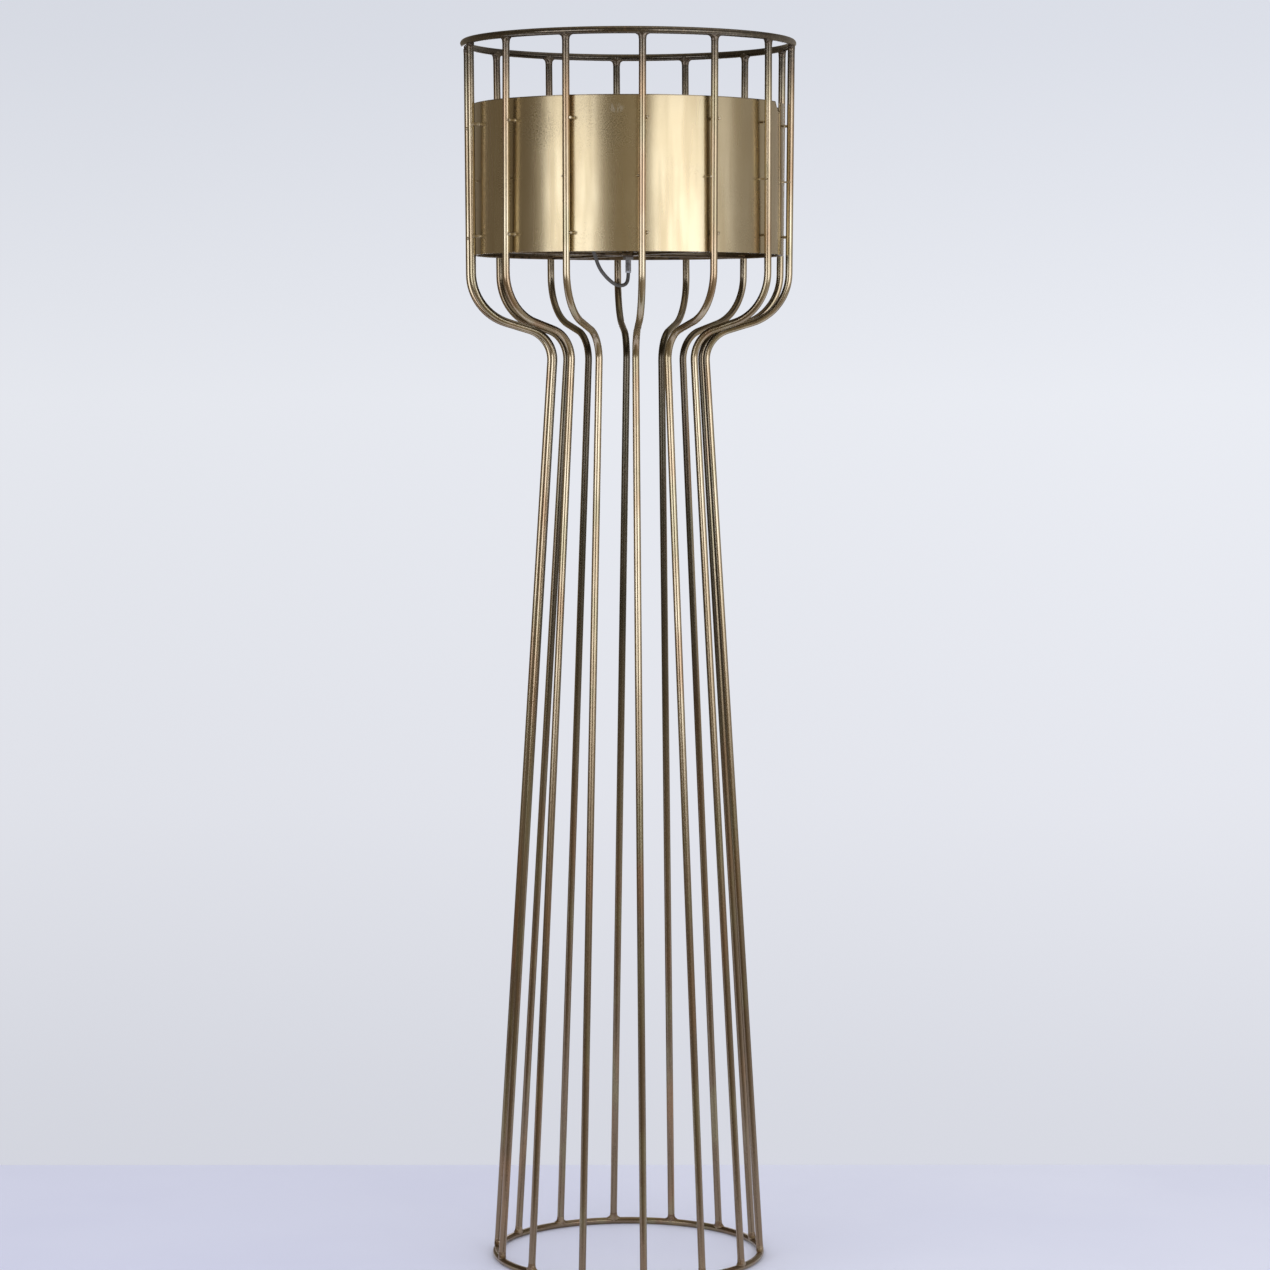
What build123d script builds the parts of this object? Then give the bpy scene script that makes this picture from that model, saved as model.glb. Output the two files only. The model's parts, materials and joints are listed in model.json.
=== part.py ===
from build123d import *
import math
import os

# Wire cage floor lamp: fourteen bent rods between two wire rings hold a sheet brass drum shade.
# Millimetres, +Z up, origin on the floor at the middle of the base ring, -Y is the front.

# ---- driving dimensions -------------------------------------------------------------------
HEIGHT = 1720.0            # floor to the top of the upper ring
WIRE_R = 5.0               # 10 mm wire, rings and rods alike
TOP_RING_R = 230.0         # centre line of the upper ring
BASE_RING_R = 189.0        # centre line of the base ring
FOOT_FLAT = 0.5            # depth of the flat worn under the base ring
ROD_COUNT = 14
ROD_PHASE = 4.8            # turn of the first rod from the front, at the upper ring
ROD_TWIST = 1.2            # further turn of its foot
ROD_HEAD_R = 229.0         # rod centre line where it meets the upper ring
SHOULDER = (226.2, 1342.0)  # corner of the upper bend: radius, height
WAIST = (108.5, 1306.5)    # corner of the lower bend: radius, height
SHOULDER_BEND_R = 72.0
WAIST_BEND_R = 43.0
ROOT_GAP = 0.05            # what the weld fills between a rod's end and a ring
# How far each hand-bent rod strays round the cage: degrees at its head, shoulder, waist and foot.
ROD_STRAY = (
    (0.0, -0.1, 0.5, 0.4),
    (0.1, 0.2, -0.9, 1.2),
    (0.5, 1.6, -0.3, -0.4),
    (0.0, 0.0, 0.0, 0.0),
    (0.0, 0.0, 2.4, 0.0),
    (-0.6, -0.6, 1.7, 0.9),
    (-0.3, -1.1, -5.0, 0.1),
    (-0.5, -1.0, -3.8, 0.7),
    (-0.3, -0.8, 0.4, 0.3),
    (-0.7, -1.7, -4.0, 0.5),
    (0.0, 0.0, 0.0, 0.0),
    (0.0, 0.0, 2.2, 0.0),
    (0.2, -0.8, 1.2, -0.2),
    (-0.6, -0.7, -0.5, -0.1),
)

WELD_REACH = 10.5          # how far a weld spreads along the ring
WELD_RISE = 12.0           # how far it climbs the rod from the ring's centre line
WELD_SLEEVE = 0.7          # how thick it ends on the rod

SHADE_R = 218.0            # outside of the drum
SHEET = 1.0
SHADE_BOTTOM = 1420.5
SHADE_HEIGHT = 210.0
SEAM_ANGLE = 73.7          # where the rolled sheet closes, from the front
NOTCH_ANGLE = 5.4          # what the clipped corner takes off the top edge
NOTCH_DEPTH = 19.0
NOTCH_FOOT = 1.0
LAP_WIDTH = 13.0
HOOP_WIRE_R = 2.0
SOLDER_GAP = 0.1

STANDOFF_HEIGHTS = (25.0, 101.0, 179.0)   # above the drum's lower edge
STANDOFF_RADII = (2.0, 1.2, 2.0)
STANDOFF_SIDES = (1, -1, 1)               # the flank of the rod that each row is brazed to
STANDOFF_SINK = 0.3                       # how deep a pin is let into the rod's flank
STANDOFF_OVER = 2.0                       # how far it goes past the rod's centre line

ARM_ANGLES = (-50.5, 29.5, 129.5, 209.5)  # from the front
ARM_WIDTH = 12.0
ARM_THICK = 3.0
HUB_R = 22.0
NIPPLE_R = 4.2
NIPPLE_BORE_R = 3.3
NIPPLE_END = 1396.5        # lower face of the cord bushing
NIPPLE_TOP = 1433.0
BUSHING_LIP = 3.0
NUT_FLATS = 12.6
NUT_THICK = 3.3
WASHER_THICK = 2.1
EARTH_PLACE = (9.5, -12.5)  # the earth screw on the hub
EARTH_SCREW_R = 2.8
EARTH_SCREW_HEIGHT = 2.0
EARTH_WIRE_R = 0.6
CORE_WIRE_R = 0.8
CORE_SPACING = 2.4         # between the two cores where the sheath ends
CORE_BEND_R = 1.6
CORE_REACH = 7.8           # from the lamp's axis to a core's end
SLOT = (7.0, 0.8, 1.6)     # cutter of a screwdriver slot, half of it in the head

HOLDER_R = 18.4            # outside of the lampholder's shell
HOLDER_TOP = 1490.0
HOLDER_CAP_WALL = 1.0
HOLDER_CAP_HEIGHT = 22.0
SHELL_WALL = 0.8
SHELL_LIP = 0.9
LINER_WALL = 0.6
CORE_HEIGHT = 15.0
CORE_WELL = (6.0, 8.0)     # radius and depth of the space for the cores' ends
SCREW_SHELL_R = 13.9
SCREW_SHELL_WALL = 0.5
CONTACT_R = 3.4
CONTACT_HEIGHT = 3.5
TERMINAL_R = 2.6
TERMINAL_HEIGHT = 2.2
TERMINAL_REACH = 10.5      # from the lamp's axis
UPPER_WASHER_R = 9.0
UPPER_WASHER_THICK = 1.2
LOWER_WASHER_R = 7.6
THREAD_FIT = 0.1           # radial play over the nipple
KNOB_ANGLE = 70.0          # side of the turn knob, from the front
KNOB_HEIGHT = 1449.0
SPINDLE_R = 1.5
SPINDLE_ENDS = (9.0, 34.0)  # from the lamp's axis
RUN_FIT = 0.05
KNOB_R = 5.0
KNOB_ENDS = (24.0, 29.0)
PADDLE = (4.0, 12.0, 13.0)
PADDLE_ROUND = 1.6

LEAD_R = 2.6
COIL_MEAN_R = 28.6         # eleven diameters across
COIL_PITCH = 6.6           # between turns that lie beside each other
COIL_RISE = 6.0            # between layers
COIL_LAYERS = 4
LAYER_HALF_TURNS = 6       # five that spiral and one that climbs
COIL_HALF_TURNS = 22.5
COIL_RADIAL = 165.0        # the coil's middle, out along the front left arm
COIL_START = -60.0         # where its first turn begins, from +X
COIL_LIFT = 0.3            # clear of the arm that it lies on
COIL_RUN = 13.0            # the free lead's last straight run
TIE_WIDTH = 10.0
TIE_THICK = 1.0
TIE_SLACK = 0.9

PLUG_THICK = 13.7
PLUG_WIDTH = 35.0
PLUG_LENGTH = 36.0
PLUG_RELIEF = 22.0
PLUG_LIFT = 2.2            # over the coil's top, on the tie
PLUG_SIDE = 48.0           # from the tail's start to the plug's centre line
PLUG_BACK = 24.0
PLUG_RUN = 18.0            # the tail's last straight run
PLUG_TAPER = 15.0          # how much narrower the plug's body starts than it gets
RELIEF_WALL = 0.9
RELIEF_FRONT = (13.0, 10.2)
PIN_ROOT = 8.0             # how deep the pins sit in the body
PIN_R = 2.0
PIN_LENGTH = 19.0
PIN_SPACING = 18.6

BULB_R = 30.0
BULB_TOP = 1564.0
BULB_TIP = 1459.2          # lower face of its contact
BULB_WALL = 1.0
BULB_LEAVE = 38.0          # degrees from the ball's lowest point to where its neck begins
CAP_R = 13.0               # the bulb's screw cap
CAP_WALL = 0.6
CAP_HEIGHT = 20.0
TIP_HEIGHT = 1.0
TIP_R = 4.0
INSULATOR_HEIGHT = 4.0
STEM_R = 4.0
STEM_HEIGHT = 18.0
STICK_R = 0.9
STICK_TOP = 54.0
STICK_ENDS = (3.0, 9.0)    # a stick's foot and head, from the lamp's axis

# ---- derived ------------------------------------------------------------------------------
TOP_RING_Z = HEIGHT - WIRE_R
BASE_RING_Z = WIRE_R - FOOT_FLAT
STEP = 360 / ROD_COUNT
SHADE_TOP = SHADE_BOTTOM + SHADE_HEIGHT
SHADE_IN = SHADE_R - SHEET
ARM_TOP = SHADE_BOTTOM + ARM_THICK
HOOP_R = SHADE_IN - SOLDER_GAP - HOOP_WIRE_R
HOOP_Z = SHADE_BOTTOM + HOOP_WIRE_R
WASHER_Z = SHADE_BOTTOM - WASHER_THICK
NUT_Z = WASHER_Z - NUT_THICK
LEAD_D = 2 * LEAD_R
LEAD_INSIDE_TOP = NIPPLE_TOP + 3
SPIRAL_HALF_TURNS = LAYER_HALF_TURNS - 1
COIL_OUT = COIL_MEAN_R + SPIRAL_HALF_TURNS * COIL_PITCH / 4
COIL_IN = COIL_MEAN_R - SPIRAL_HALF_TURNS * COIL_PITCH / 4
COIL_Z = ARM_TOP + COIL_LIFT + LEAD_R


def around(angle, radius, z=0.0):
    """A point at an angle from the front, -Y, counted towards +X."""
    turn = math.radians(angle)
    return Vector(radius * math.sin(turn), -radius * math.cos(turn), z)


def turned(shape, angle):
    """A shape built along -Y, turned to an angle from the front."""
    return Rot(0, 0, angle) * shape


def drum(radius, low, high):
    """A cylinder on the lamp's axis between two heights."""
    return Pos(0, 0, low) * Cylinder(radius, high - low, align=(Align.CENTER, Align.CENTER, Align.MIN))


def tube(outer, inner, low, high):
    return drum(outer, low, high) - drum(inner, low - 1, high + 1)


def bar(start, end, radius):
    """A round bar from one point to another."""
    start, end = Vector(*start), Vector(*end)
    plane = Plane(origin=start, z_dir=end - start)
    return extrude(plane * Circle(radius), amount=(end - start).length)


def turning(*points):
    """A solid of revolution about the lamp's axis from its half section, radius and height."""
    outline = make_face(Polyline(*[(r, 0, z) for r, z in points], close=True))
    return revolve(outline, Axis.Z)


def write(name, shape):
    export_step(shape, f"parts/{name}.step")


def group(solids):
    return Compound(children=list(solids))


# ---- cage ---------------------------------------------------------------------------------
def ring_torus(ring_r, wire_r, z):
    return Pos(0, 0, z) * Torus(ring_r, wire_r)


def rod_corners(k):
    """A rod's centre line: head, two bends, foot."""
    angle = ROD_PHASE + k * STEP
    head_stray, shoulder_stray, waist_stray, foot_stray = ROD_STRAY[k]
    head = around(angle + head_stray, ROD_HEAD_R, TOP_RING_Z)
    shoulder = around(angle + shoulder_stray, *SHOULDER)
    waist = around(angle + waist_stray, *WAIST)
    foot = around(angle + ROD_TWIST + foot_stray, BASE_RING_R, BASE_RING_Z)
    return head, shoulder, waist, foot


def rod(k, rings):
    """One rod, coped to sit against both rings."""
    line = FilletPolyline(*rod_corners(k), radius=[SHOULDER_BEND_R, WAIST_BEND_R])
    section = Plane(origin=line @ 0, z_dir=line % 0) * Circle(WIRE_R)
    return sweep(section, path=line) - rings


def beside_shade(k, z):
    """Where a rod's centre line is at a height beside the shade."""
    head, shoulder, _, _ = rod_corners(k)
    return head + (shoulder - head) * ((head.Z - z) / (head.Z - shoulder.Z))


def weld(end, towards, ring, rod_reach=30.0):
    """The fillet of weld between a rod's end and a ring: it flares along the ring."""
    along = (towards - end).normalized()
    tangent = Vector(-end.Y, end.X, 0).normalized()
    frame = Plane(origin=end, x_dir=tangent, z_dir=along)
    sleeve = WIRE_R + WELD_SLEEVE
    flare = JernArc((sleeve, WELD_RISE), (0, -1), WELD_REACH - sleeve, 90)
    edge = Polyline(flare @ 1, (WELD_REACH, 0), (0, 0), (0, WELD_RISE), (sleeve, WELD_RISE))
    half = make_face(Plane.XZ * (flare + edge))
    collar = frame * revolve(half, Axis.Z)
    across = frame * Box(2 * WELD_REACH, 2 * sleeve, 4 * WELD_RISE)
    inner = bar(end - along * WIRE_R, end + along * rod_reach, WIRE_R)
    return (collar & across) - inner - ring


# ---- shade --------------------------------------------------------------------------------
def shade_sheet():
    """The rolled drum with its clipped corner and the lap inside its seam."""
    sheet = tube(SHADE_R, SHADE_IN, SHADE_BOTTOM, SHADE_TOP)
    half = SHADE_R * math.sin(math.radians(NOTCH_ANGLE / 2))
    above = SHADE_TOP + 1
    below = SHADE_TOP - NOTCH_DEPTH
    clip = Polyline(
        (-half, above), (half, above), (half, below), (half - NOTCH_FOOT, below), (-half, SHADE_TOP),
        close=True,
    )
    cutter = extrude(Plane.XZ * make_face(clip), amount=SHADE_R + 10)
    sheet -= turned(cutter, SEAM_ANGLE - NOTCH_ANGLE / 2)
    lap_low = SHADE_BOTTOM + 2 * HOOP_WIRE_R + SHEET
    lap = tube(SHADE_IN + SHEET / 2, SHADE_IN - SHEET, lap_low, below)
    slab = Pos(0, -SHADE_R, 0) * Box(LAP_WIDTH, 3 * LAP_WIDTH, 4 * HEIGHT)
    lap_turn = math.degrees(LAP_WIDTH / 2 / SHADE_R)
    return sheet + (lap & turned(slab, SEAM_ANGLE + lap_turn))


def standoff(k, height, radius, side):
    """A short pin from the drum to one flank of a rod."""
    z = SHADE_BOTTOM + height
    here = beside_shade(k, z)
    rod_r = math.hypot(here.X, here.Y)
    aside = math.degrees((WIRE_R + radius - STANDOFF_SINK) / rod_r)
    angle = math.degrees(math.atan2(here.X, -here.Y)) + side * aside
    pin = bar(around(angle, SHADE_R, z), around(angle, rod_r + STANDOFF_OVER, z), radius)
    reach = 20
    return pin - bar(beside_shade(k, z - reach), beside_shade(k, z + reach), WIRE_R)


# ---- spider and lampholder ----------------------------------------------------------------
def spider_arm(angle, hoop):
    length = SHADE_IN - HUB_R
    middle = Pos(0, -HUB_R - length / 2, SHADE_BOTTOM + ARM_THICK / 2)
    arm = turned(middle * Box(ARM_WIDTH, length, ARM_THICK), angle)
    inside = drum(HOOP_R, 0, HEIGHT)
    return (arm & inside) - drum(HUB_R, 0, HEIGHT) - hoop


def arm_weld(angle, hoop):
    """A run of weld in the corner between an arm's end and the hoop."""
    bead_r = 2.6
    seat = HOOP_R - HOOP_WIRE_R - 0.6
    left = turned(Pos(-ARM_WIDTH / 2, -seat, ARM_TOP) * Sphere(bead_r), angle)
    right = turned(Pos(ARM_WIDTH / 2, -seat, ARM_TOP) * Sphere(bead_r), angle)
    run = turned(Pos(0, -seat, ARM_TOP) * Rot(0, 90, 0) * Cylinder(bead_r, ARM_WIDTH), angle)
    slab = drum(SHADE_IN, ARM_TOP, ARM_TOP + bead_r)
    return ((run + left + right) & slab) - hoop


def hexagon_nut(low, thick, bore):
    flats = extrude(Pos(0, 0, low) * RegularPolygon(NUT_FLATS / 2, 6, major_radius=False), amount=thick)
    chamfer_r = NUT_FLATS / 2 + 0.5
    return (flats & drum(chamfer_r, low, low + thick)) - drum(bore, low - 1, low + thick + 1)


def spoke(inner, outer, radius):
    """A round bar out from the lamp's axis along the turn knob's line."""
    return bar(around(KNOB_ANGLE, inner, KNOB_HEIGHT), around(KNOB_ANGLE, outer, KNOB_HEIGHT), radius)


def holder_pieces():
    """The lampholder around the lamp's axis, by node name."""
    bore = NIPPLE_R + THREAD_FIT
    cap_low = ARM_TOP + UPPER_WASHER_THICK
    mouth = HOLDER_R + 0.1
    rim = mouth + HOLDER_CAP_WALL
    cap = turning(
        (bore, cap_low), (7.5, cap_low), (8.5, cap_low + 2), (16.5, cap_low + 7), (rim, cap_low + 12),
        (rim, cap_low + HOLDER_CAP_HEIGHT), (mouth, cap_low + HOLDER_CAP_HEIGHT), (mouth, cap_low + 12.5),
        (15.8, cap_low + 8), (7.5, cap_low + 3.6), (bore, cap_low + 3.6),
    )
    shell_low = cap_low + 13.5
    shell_in, lip_r = HOLDER_R - SHELL_WALL, HOLDER_R + SHELL_LIP
    shell = turning(
        (HOLDER_R, shell_low), (HOLDER_R, HOLDER_TOP - 2), (lip_r, HOLDER_TOP - 1.4), (lip_r, HOLDER_TOP),
        (shell_in, HOLDER_TOP), (shell_in, shell_low),
    )
    liner_r = shell_in - 0.1
    liner = tube(liner_r, liner_r - LINER_WALL, shell_low + 1, HOLDER_TOP - 1)
    core_low = shell_low + 2
    core_high = core_low + CORE_HEIGHT
    core = drum(liner_r - LINER_WALL - 0.1, core_low, core_high)
    well_r, well_depth = CORE_WELL
    core -= drum(well_r, core_low - 1, core_low + well_depth)
    screw_low = core_high + 0.1
    screw_in, screw_floor = SCREW_SHELL_R - SCREW_SHELL_WALL, screw_low + SCREW_SHELL_WALL
    screw_top = HOLDER_TOP - 3
    screw_shell = turning(
        (SCREW_SHELL_R, screw_low), (SCREW_SHELL_R, screw_top), (screw_in, screw_top), (screw_in, screw_floor),
        (5.0, screw_floor), (5.0, screw_low),
    )
    contact = drum(CONTACT_R, screw_low, screw_low + CONTACT_HEIGHT)
    contact = chamfer(contact.faces().sort_by(Axis.Z)[-1].edges(), 0.8)

    spindle = spoke(*SPINDLE_ENDS, SPINDLE_R)
    cap -= spoke(*SPINDLE_ENDS, SPINDLE_R + 1)
    hole = spoke(SPINDLE_ENDS[0] - 1, SPINDLE_ENDS[1], SPINDLE_R + RUN_FIT)
    paddle = turned(Pos(0, -SPINDLE_ENDS[1], KNOB_HEIGHT) * Box(*PADDLE), KNOB_ANGLE)
    knob = spoke(*KNOB_ENDS, KNOB_R) + fillet(paddle.edges(), PADDLE_ROUND) - spindle

    screws = []
    for side in (-1, 1):
        place = Pos(side * TERMINAL_REACH, 0, core_low - TERMINAL_HEIGHT)
        head = place * Cylinder(TERMINAL_R, TERMINAL_HEIGHT, align=(Align.CENTER, Align.CENTER, Align.MIN))
        screws.append(head - place * Box(*SLOT))
    return {
        "lampholder_cap": cap,
        "lampholder_shell": shell - hole,
        "lampholder_liner": liner - hole,
        "lampholder_core": core - hole,
        "lampholder_screw_shell": screw_shell,
        "lampholder_centre_contact": contact,
        "lampholder_terminal_screws": group(screws),
        "switch_spindle": spindle,
        "switch_knob": knob,
    }


def earth_pieces(cap):
    """The screw on the hub and the bare wire from it to the lampholder's cap."""
    x, y = EARTH_PLACE
    screw = bar((x, y, ARM_TOP), (x, y, ARM_TOP + EARTH_SCREW_HEIGHT), EARTH_SCREW_R)
    screw -= Pos(x, y, ARM_TOP + EARTH_SCREW_HEIGHT) * Box(*SLOT)
    line = FilletPolyline(
        (x - 2, y + 0.2, ARM_TOP + 0.8), (x - 7, y + 0.6, ARM_TOP + 1.1), (x - 12, y + 1.3, ARM_TOP + 3.4),
        (x - 14.2, y + 2.4, ARM_TOP + 7.0), radius=[4.0, 3.0],
    )
    wire = sweep(Plane(origin=line @ 0, z_dir=line % 0) * Circle(EARTH_WIRE_R), path=line)
    return screw, (wire - cap - screw).solids().sort_by(SortBy.VOLUME)[-1]


def lead_cores():
    """The lead's two cores, from its sheath's end to the terminal screws."""
    rise = LEAD_INSIDE_TOP + 3
    cores = []
    for side in (-1, 1):
        start, end = side * CORE_SPACING / 2, side * CORE_REACH
        line = FilletPolyline(
            (start, 0, LEAD_INSIDE_TOP), (start, 0, rise), (end, 0, rise), radius=CORE_BEND_R)
        cores.append(sweep(Plane(origin=line @ 0, z_dir=line % 0) * Circle(CORE_WIRE_R), path=line))
    return group(cores)


def bulb_solid(inset):
    """The bulb's glass as a solid, so far inside its outer surface: a ball on a neck."""
    leave = math.radians(BULB_LEAVE)
    across, down = math.sin(leave), math.cos(leave)
    neck_z = BULB_TIP + TIP_HEIGHT + INSULATOR_HEIGHT + CAP_HEIGHT + 0.2
    centre_z = BULB_TOP - BULB_R
    ball_r = BULB_R - inset
    mouth = (CAP_R - 0.4 - inset, neck_z)
    join = (ball_r * across, centre_z - ball_r * down)
    above = math.radians(12)
    side = (ball_r * math.cos(above), centre_z + ball_r * math.sin(above))
    crown = (0, centre_z + ball_r)
    neck = TangentArc(join, mouth, tangent=(-down, -across))
    ball = ThreePointArc(join, side, crown)
    close = Polyline(crown, (0, neck_z), mouth)
    return revolve(make_face(Plane.XZ * (neck + ball + close)), Axis.Z)


def bulb_pieces():
    """The screw-in bulb, clear of the shell that it slides out of."""
    insulator_low = BULB_TIP + TIP_HEIGHT
    contact = drum(TIP_R, BULB_TIP, insulator_low)
    cap_low = insulator_low + INSULATOR_HEIGHT
    insulator = turning(
        (0, insulator_low), (4.6, insulator_low), (10.5, cap_low - 0.6), (10.5, cap_low), (0, cap_low))
    cap = tube(CAP_R, CAP_R - CAP_WALL, cap_low, cap_low + CAP_HEIGHT)
    cap += tube(CAP_R - CAP_WALL / 2, 2.0, cap_low, cap_low + CAP_WALL)
    neck_z = cap_low + CAP_HEIGHT + 0.2
    foot, head = STICK_ENDS
    filaments = drum(STEM_R, neck_z + 1.5, neck_z + STEM_HEIGHT)
    for k in range(4):
        stick = bar((0, -foot, neck_z + STEM_HEIGHT), (0, -head, neck_z + STICK_TOP), STICK_R)
        filaments += turned(stick, 90 * k)
    return {
        "bulb_contact": contact,
        "bulb_insulator": insulator,
        "bulb_screw_cap": cap,
        "bulb_glass": bulb_solid(0) - bulb_solid(BULB_WALL),
        "bulb_filaments": filaments,
    }


# ---- mains lead ---------------------------------------------------------------------------
COIL_MIDDLE = around(ARM_ANGLES[0], COIL_RADIAL, 0)

# The free lead from the bushing's lower face: down, up again inside the shade, over to the coil.
LEAD_ROUTE = [
    (0.0, 0.0, NIPPLE_END),
    (0.0, 0.0, 1385.6),
    (-5.5, -9.5, 1378.6),
    (-17.5, -30.5, 1378.6),
    (-29.5, -51.0, 1388.0),
    (-40.5, -70.0, 1401.5),
    (-47.0, -81.5, 1421.5),
    (-53.5, -94.0, 1439.5),
    (-69.0, -108.0, 1445.5),
    (-82.0, -119.0, 1431.0),
]
# The tail from the coil to the plug: along the coil's last heading, to its right, and height.
TAIL_ROUTE = [
    (15.0, 0.0, 0.0),
    (29.0, -1.5, 0.6),
    (43.5, 2.0, 2.2),
    (55.5, 15.5, 5.0),
    (56.0, 34.0, 8.4),
]


def coil_point(half_turns):
    """Where the coil's centre line is after so many half turns."""
    layer = min(int(half_turns // LAYER_HALF_TURNS), COIL_LAYERS - 1)
    done = half_turns - layer * LAYER_HALF_TURNS
    spiral = min(done, SPIRAL_HALF_TURNS) / SPIRAL_HALF_TURNS
    climb = max(done - SPIRAL_HALF_TURNS, 0)
    climb = climb * climb * (3 - 2 * climb)
    span = COIL_OUT - COIL_IN
    radius = COIL_OUT - span * spiral if layer % 2 == 0 else COIL_IN + span * spiral
    turn = math.radians(COIL_START - 180 * half_turns)
    out = Vector(math.cos(turn), math.sin(turn), 0)
    return COIL_MIDDLE + out * radius + Vector(0, 0, COIL_Z + COIL_RISE * (layer + climb))


def coil_heading(half_turns):
    """The level direction in which the coil's centre line runs."""
    step = 0.002
    ahead = coil_point(min(half_turns + step, COIL_HALF_TURNS))
    behind = coil_point(max(half_turns - step, 0))
    return Vector(ahead.X - behind.X, ahead.Y - behind.Y, 0).normalized()


def biarc(start, leave, end, arrive):
    """Two tangent arcs from one point and heading to another."""
    chord = end - start
    square = 2 * (1 - leave.dot(arrive))
    linear = 2 * chord.dot(leave + arrive)
    root = math.sqrt(linear * linear + 4 * square * chord.dot(chord))
    reach = (root - linear) / (2 * square)
    first = start + leave * reach
    last = end - arrive * reach
    middle = (first + last) * 0.5
    heading = (last - first).normalized()
    return [TangentArc(start, middle, tangent=leave), TangentArc(middle, end, tangent=heading)]


def coil_line():
    """The coil's centre line in quarter turns, with a straight diameter at each end."""
    quarters = int(2 * COIL_HALF_TURNS)
    places = [coil_point(q / 2) for q in range(quarters + 1)]
    headings = [coil_heading(q / 2) for q in range(quarters + 1)]
    edges = [Line(places[0] - headings[0] * LEAD_D, places[0])]
    for q in range(quarters):
        edges += biarc(places[q], headings[q], places[q + 1], headings[q + 1])
    edges.append(Line(places[-1], places[-1] + headings[-1] * LEAD_D))
    return edges


def coil_gap():
    """The least space between the coil's turns, measured on points."""
    per_half = 24
    points = [coil_point(i / per_half) for i in range(int(COIL_HALF_TURNS * per_half) + 1)]
    least = 1e9
    for i, here in enumerate(points):
        for there in points[i + per_half:]:
            least = min(least, (here - there).length)
    return least - LEAD_D


def corner_radii(points):
    """As large an arc at each corner as its two runs allow."""
    radii = []
    for before, here, after in zip(points, points[1:], points[2:]):
        turn = math.radians((here - before).get_angle(after - here))
        shorter = min((here - before).length, (after - here).length)
        radii.append(0.45 * shorter / math.tan(turn / 2))
    return radii


def lead_tube(name, points):
    """A lead's free stretch along straight runs and tangent arcs."""
    points = [Vector(*p) for p in points]
    radii = corner_radii(points)
    line = FilletPolyline(*points, radius=radii)
    solid = sweep(Plane(origin=line @ 0, z_dir=line % 0) * Circle(LEAD_R), path=line)
    expected = math.pi * LEAD_R ** 2 * line.length
    print(name, "length", round(line.length, 1), "radii", [round(r, 1) for r in radii])
    print(name, "volume against section times length", round(solid.volume / expected, 4))
    write(name, solid)
    return line.length


def lead_coil():
    edges = coil_line()
    line = Wire([edge for piece in edges for edge in piece.edges()])
    solid = sweep(Plane(origin=line @ 0, z_dir=line % 0) * Circle(LEAD_R), path=line)
    expected = math.pi * LEAD_R ** 2 * line.length
    print("lead_coil length", round(line.length, 1), "least gap", round(coil_gap(), 2))
    print("lead_coil volume against section times length", round(solid.volume / expected, 4))
    write("lead_coil", solid)
    return line.length


def coil_tie():
    """A band round the turns on the side away from the plug's pins."""
    away = around(ARM_ANGLES[0] - 90, 1, 0)
    frame = Plane(origin=COIL_MIDDLE, x_dir=away, z_dir=away.cross(Vector(0, 0, 1)))
    low = COIL_Z - LEAD_R - TIE_SLACK
    high = COIL_Z + (COIL_LAYERS - 1) * COIL_RISE + LEAD_R + TIE_SLACK
    width = COIL_OUT - COIL_IN + LEAD_D + 2 * TIE_SLACK
    hole = RectangleRounded(width, high - low, TIE_SLACK)
    band = RectangleRounded(width + 2 * TIE_THICK, high - low + 2 * TIE_THICK, TIE_SLACK + TIE_THICK)
    section = Pos(COIL_MEAN_R, (low + high) / 2) * (band - hole)
    return extrude(frame * section, amount=TIE_WIDTH / 2, both=True)


def plug_pieces(rear, heading):
    """A flat two-pin plug: its relief's rear face centre, and the way its pins point."""
    frame = Plane(origin=rear, x_dir=Vector(0, 0, 1).cross(heading), z_dir=heading)
    relief_rear = frame * Circle(LEAD_R + RELIEF_WALL)
    relief_front = frame.offset(PLUG_RELIEF) * RectangleRounded(*RELIEF_FRONT, 4)
    relief = loft([relief_rear.face(), relief_front.face()])
    relief -= bar(rear - heading, rear + heading * PLUG_RELIEF * 2, LEAD_R)
    body_face = frame.offset(PLUG_RELIEF)
    rear_face = body_face * RectangleRounded(PLUG_WIDTH - PLUG_TAPER, PLUG_THICK - 1, 5)
    wide_face = body_face.offset(PLUG_LENGTH * 0.45) * RectangleRounded(PLUG_WIDTH, PLUG_THICK, 6)
    front_face = body_face.offset(PLUG_LENGTH) * RectangleRounded(PLUG_WIDTH - 2, PLUG_THICK - 0.6, 6)
    body = loft([rear_face.face(), wide_face.face(), front_face.face()], ruled=True)
    front = body_face.offset(PLUG_LENGTH)
    pins = []
    for side in (-1, 1):
        base = front.from_local_coords((side * PIN_SPACING / 2, 0, 0))
        pin = bar(base - heading * PIN_ROOT, base + heading * PIN_LENGTH, PIN_R)
        pins.append(pin)
        body -= pin
    return {"plug_relief": relief, "plug_body": body, "plug_pins": group(pins)}


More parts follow.
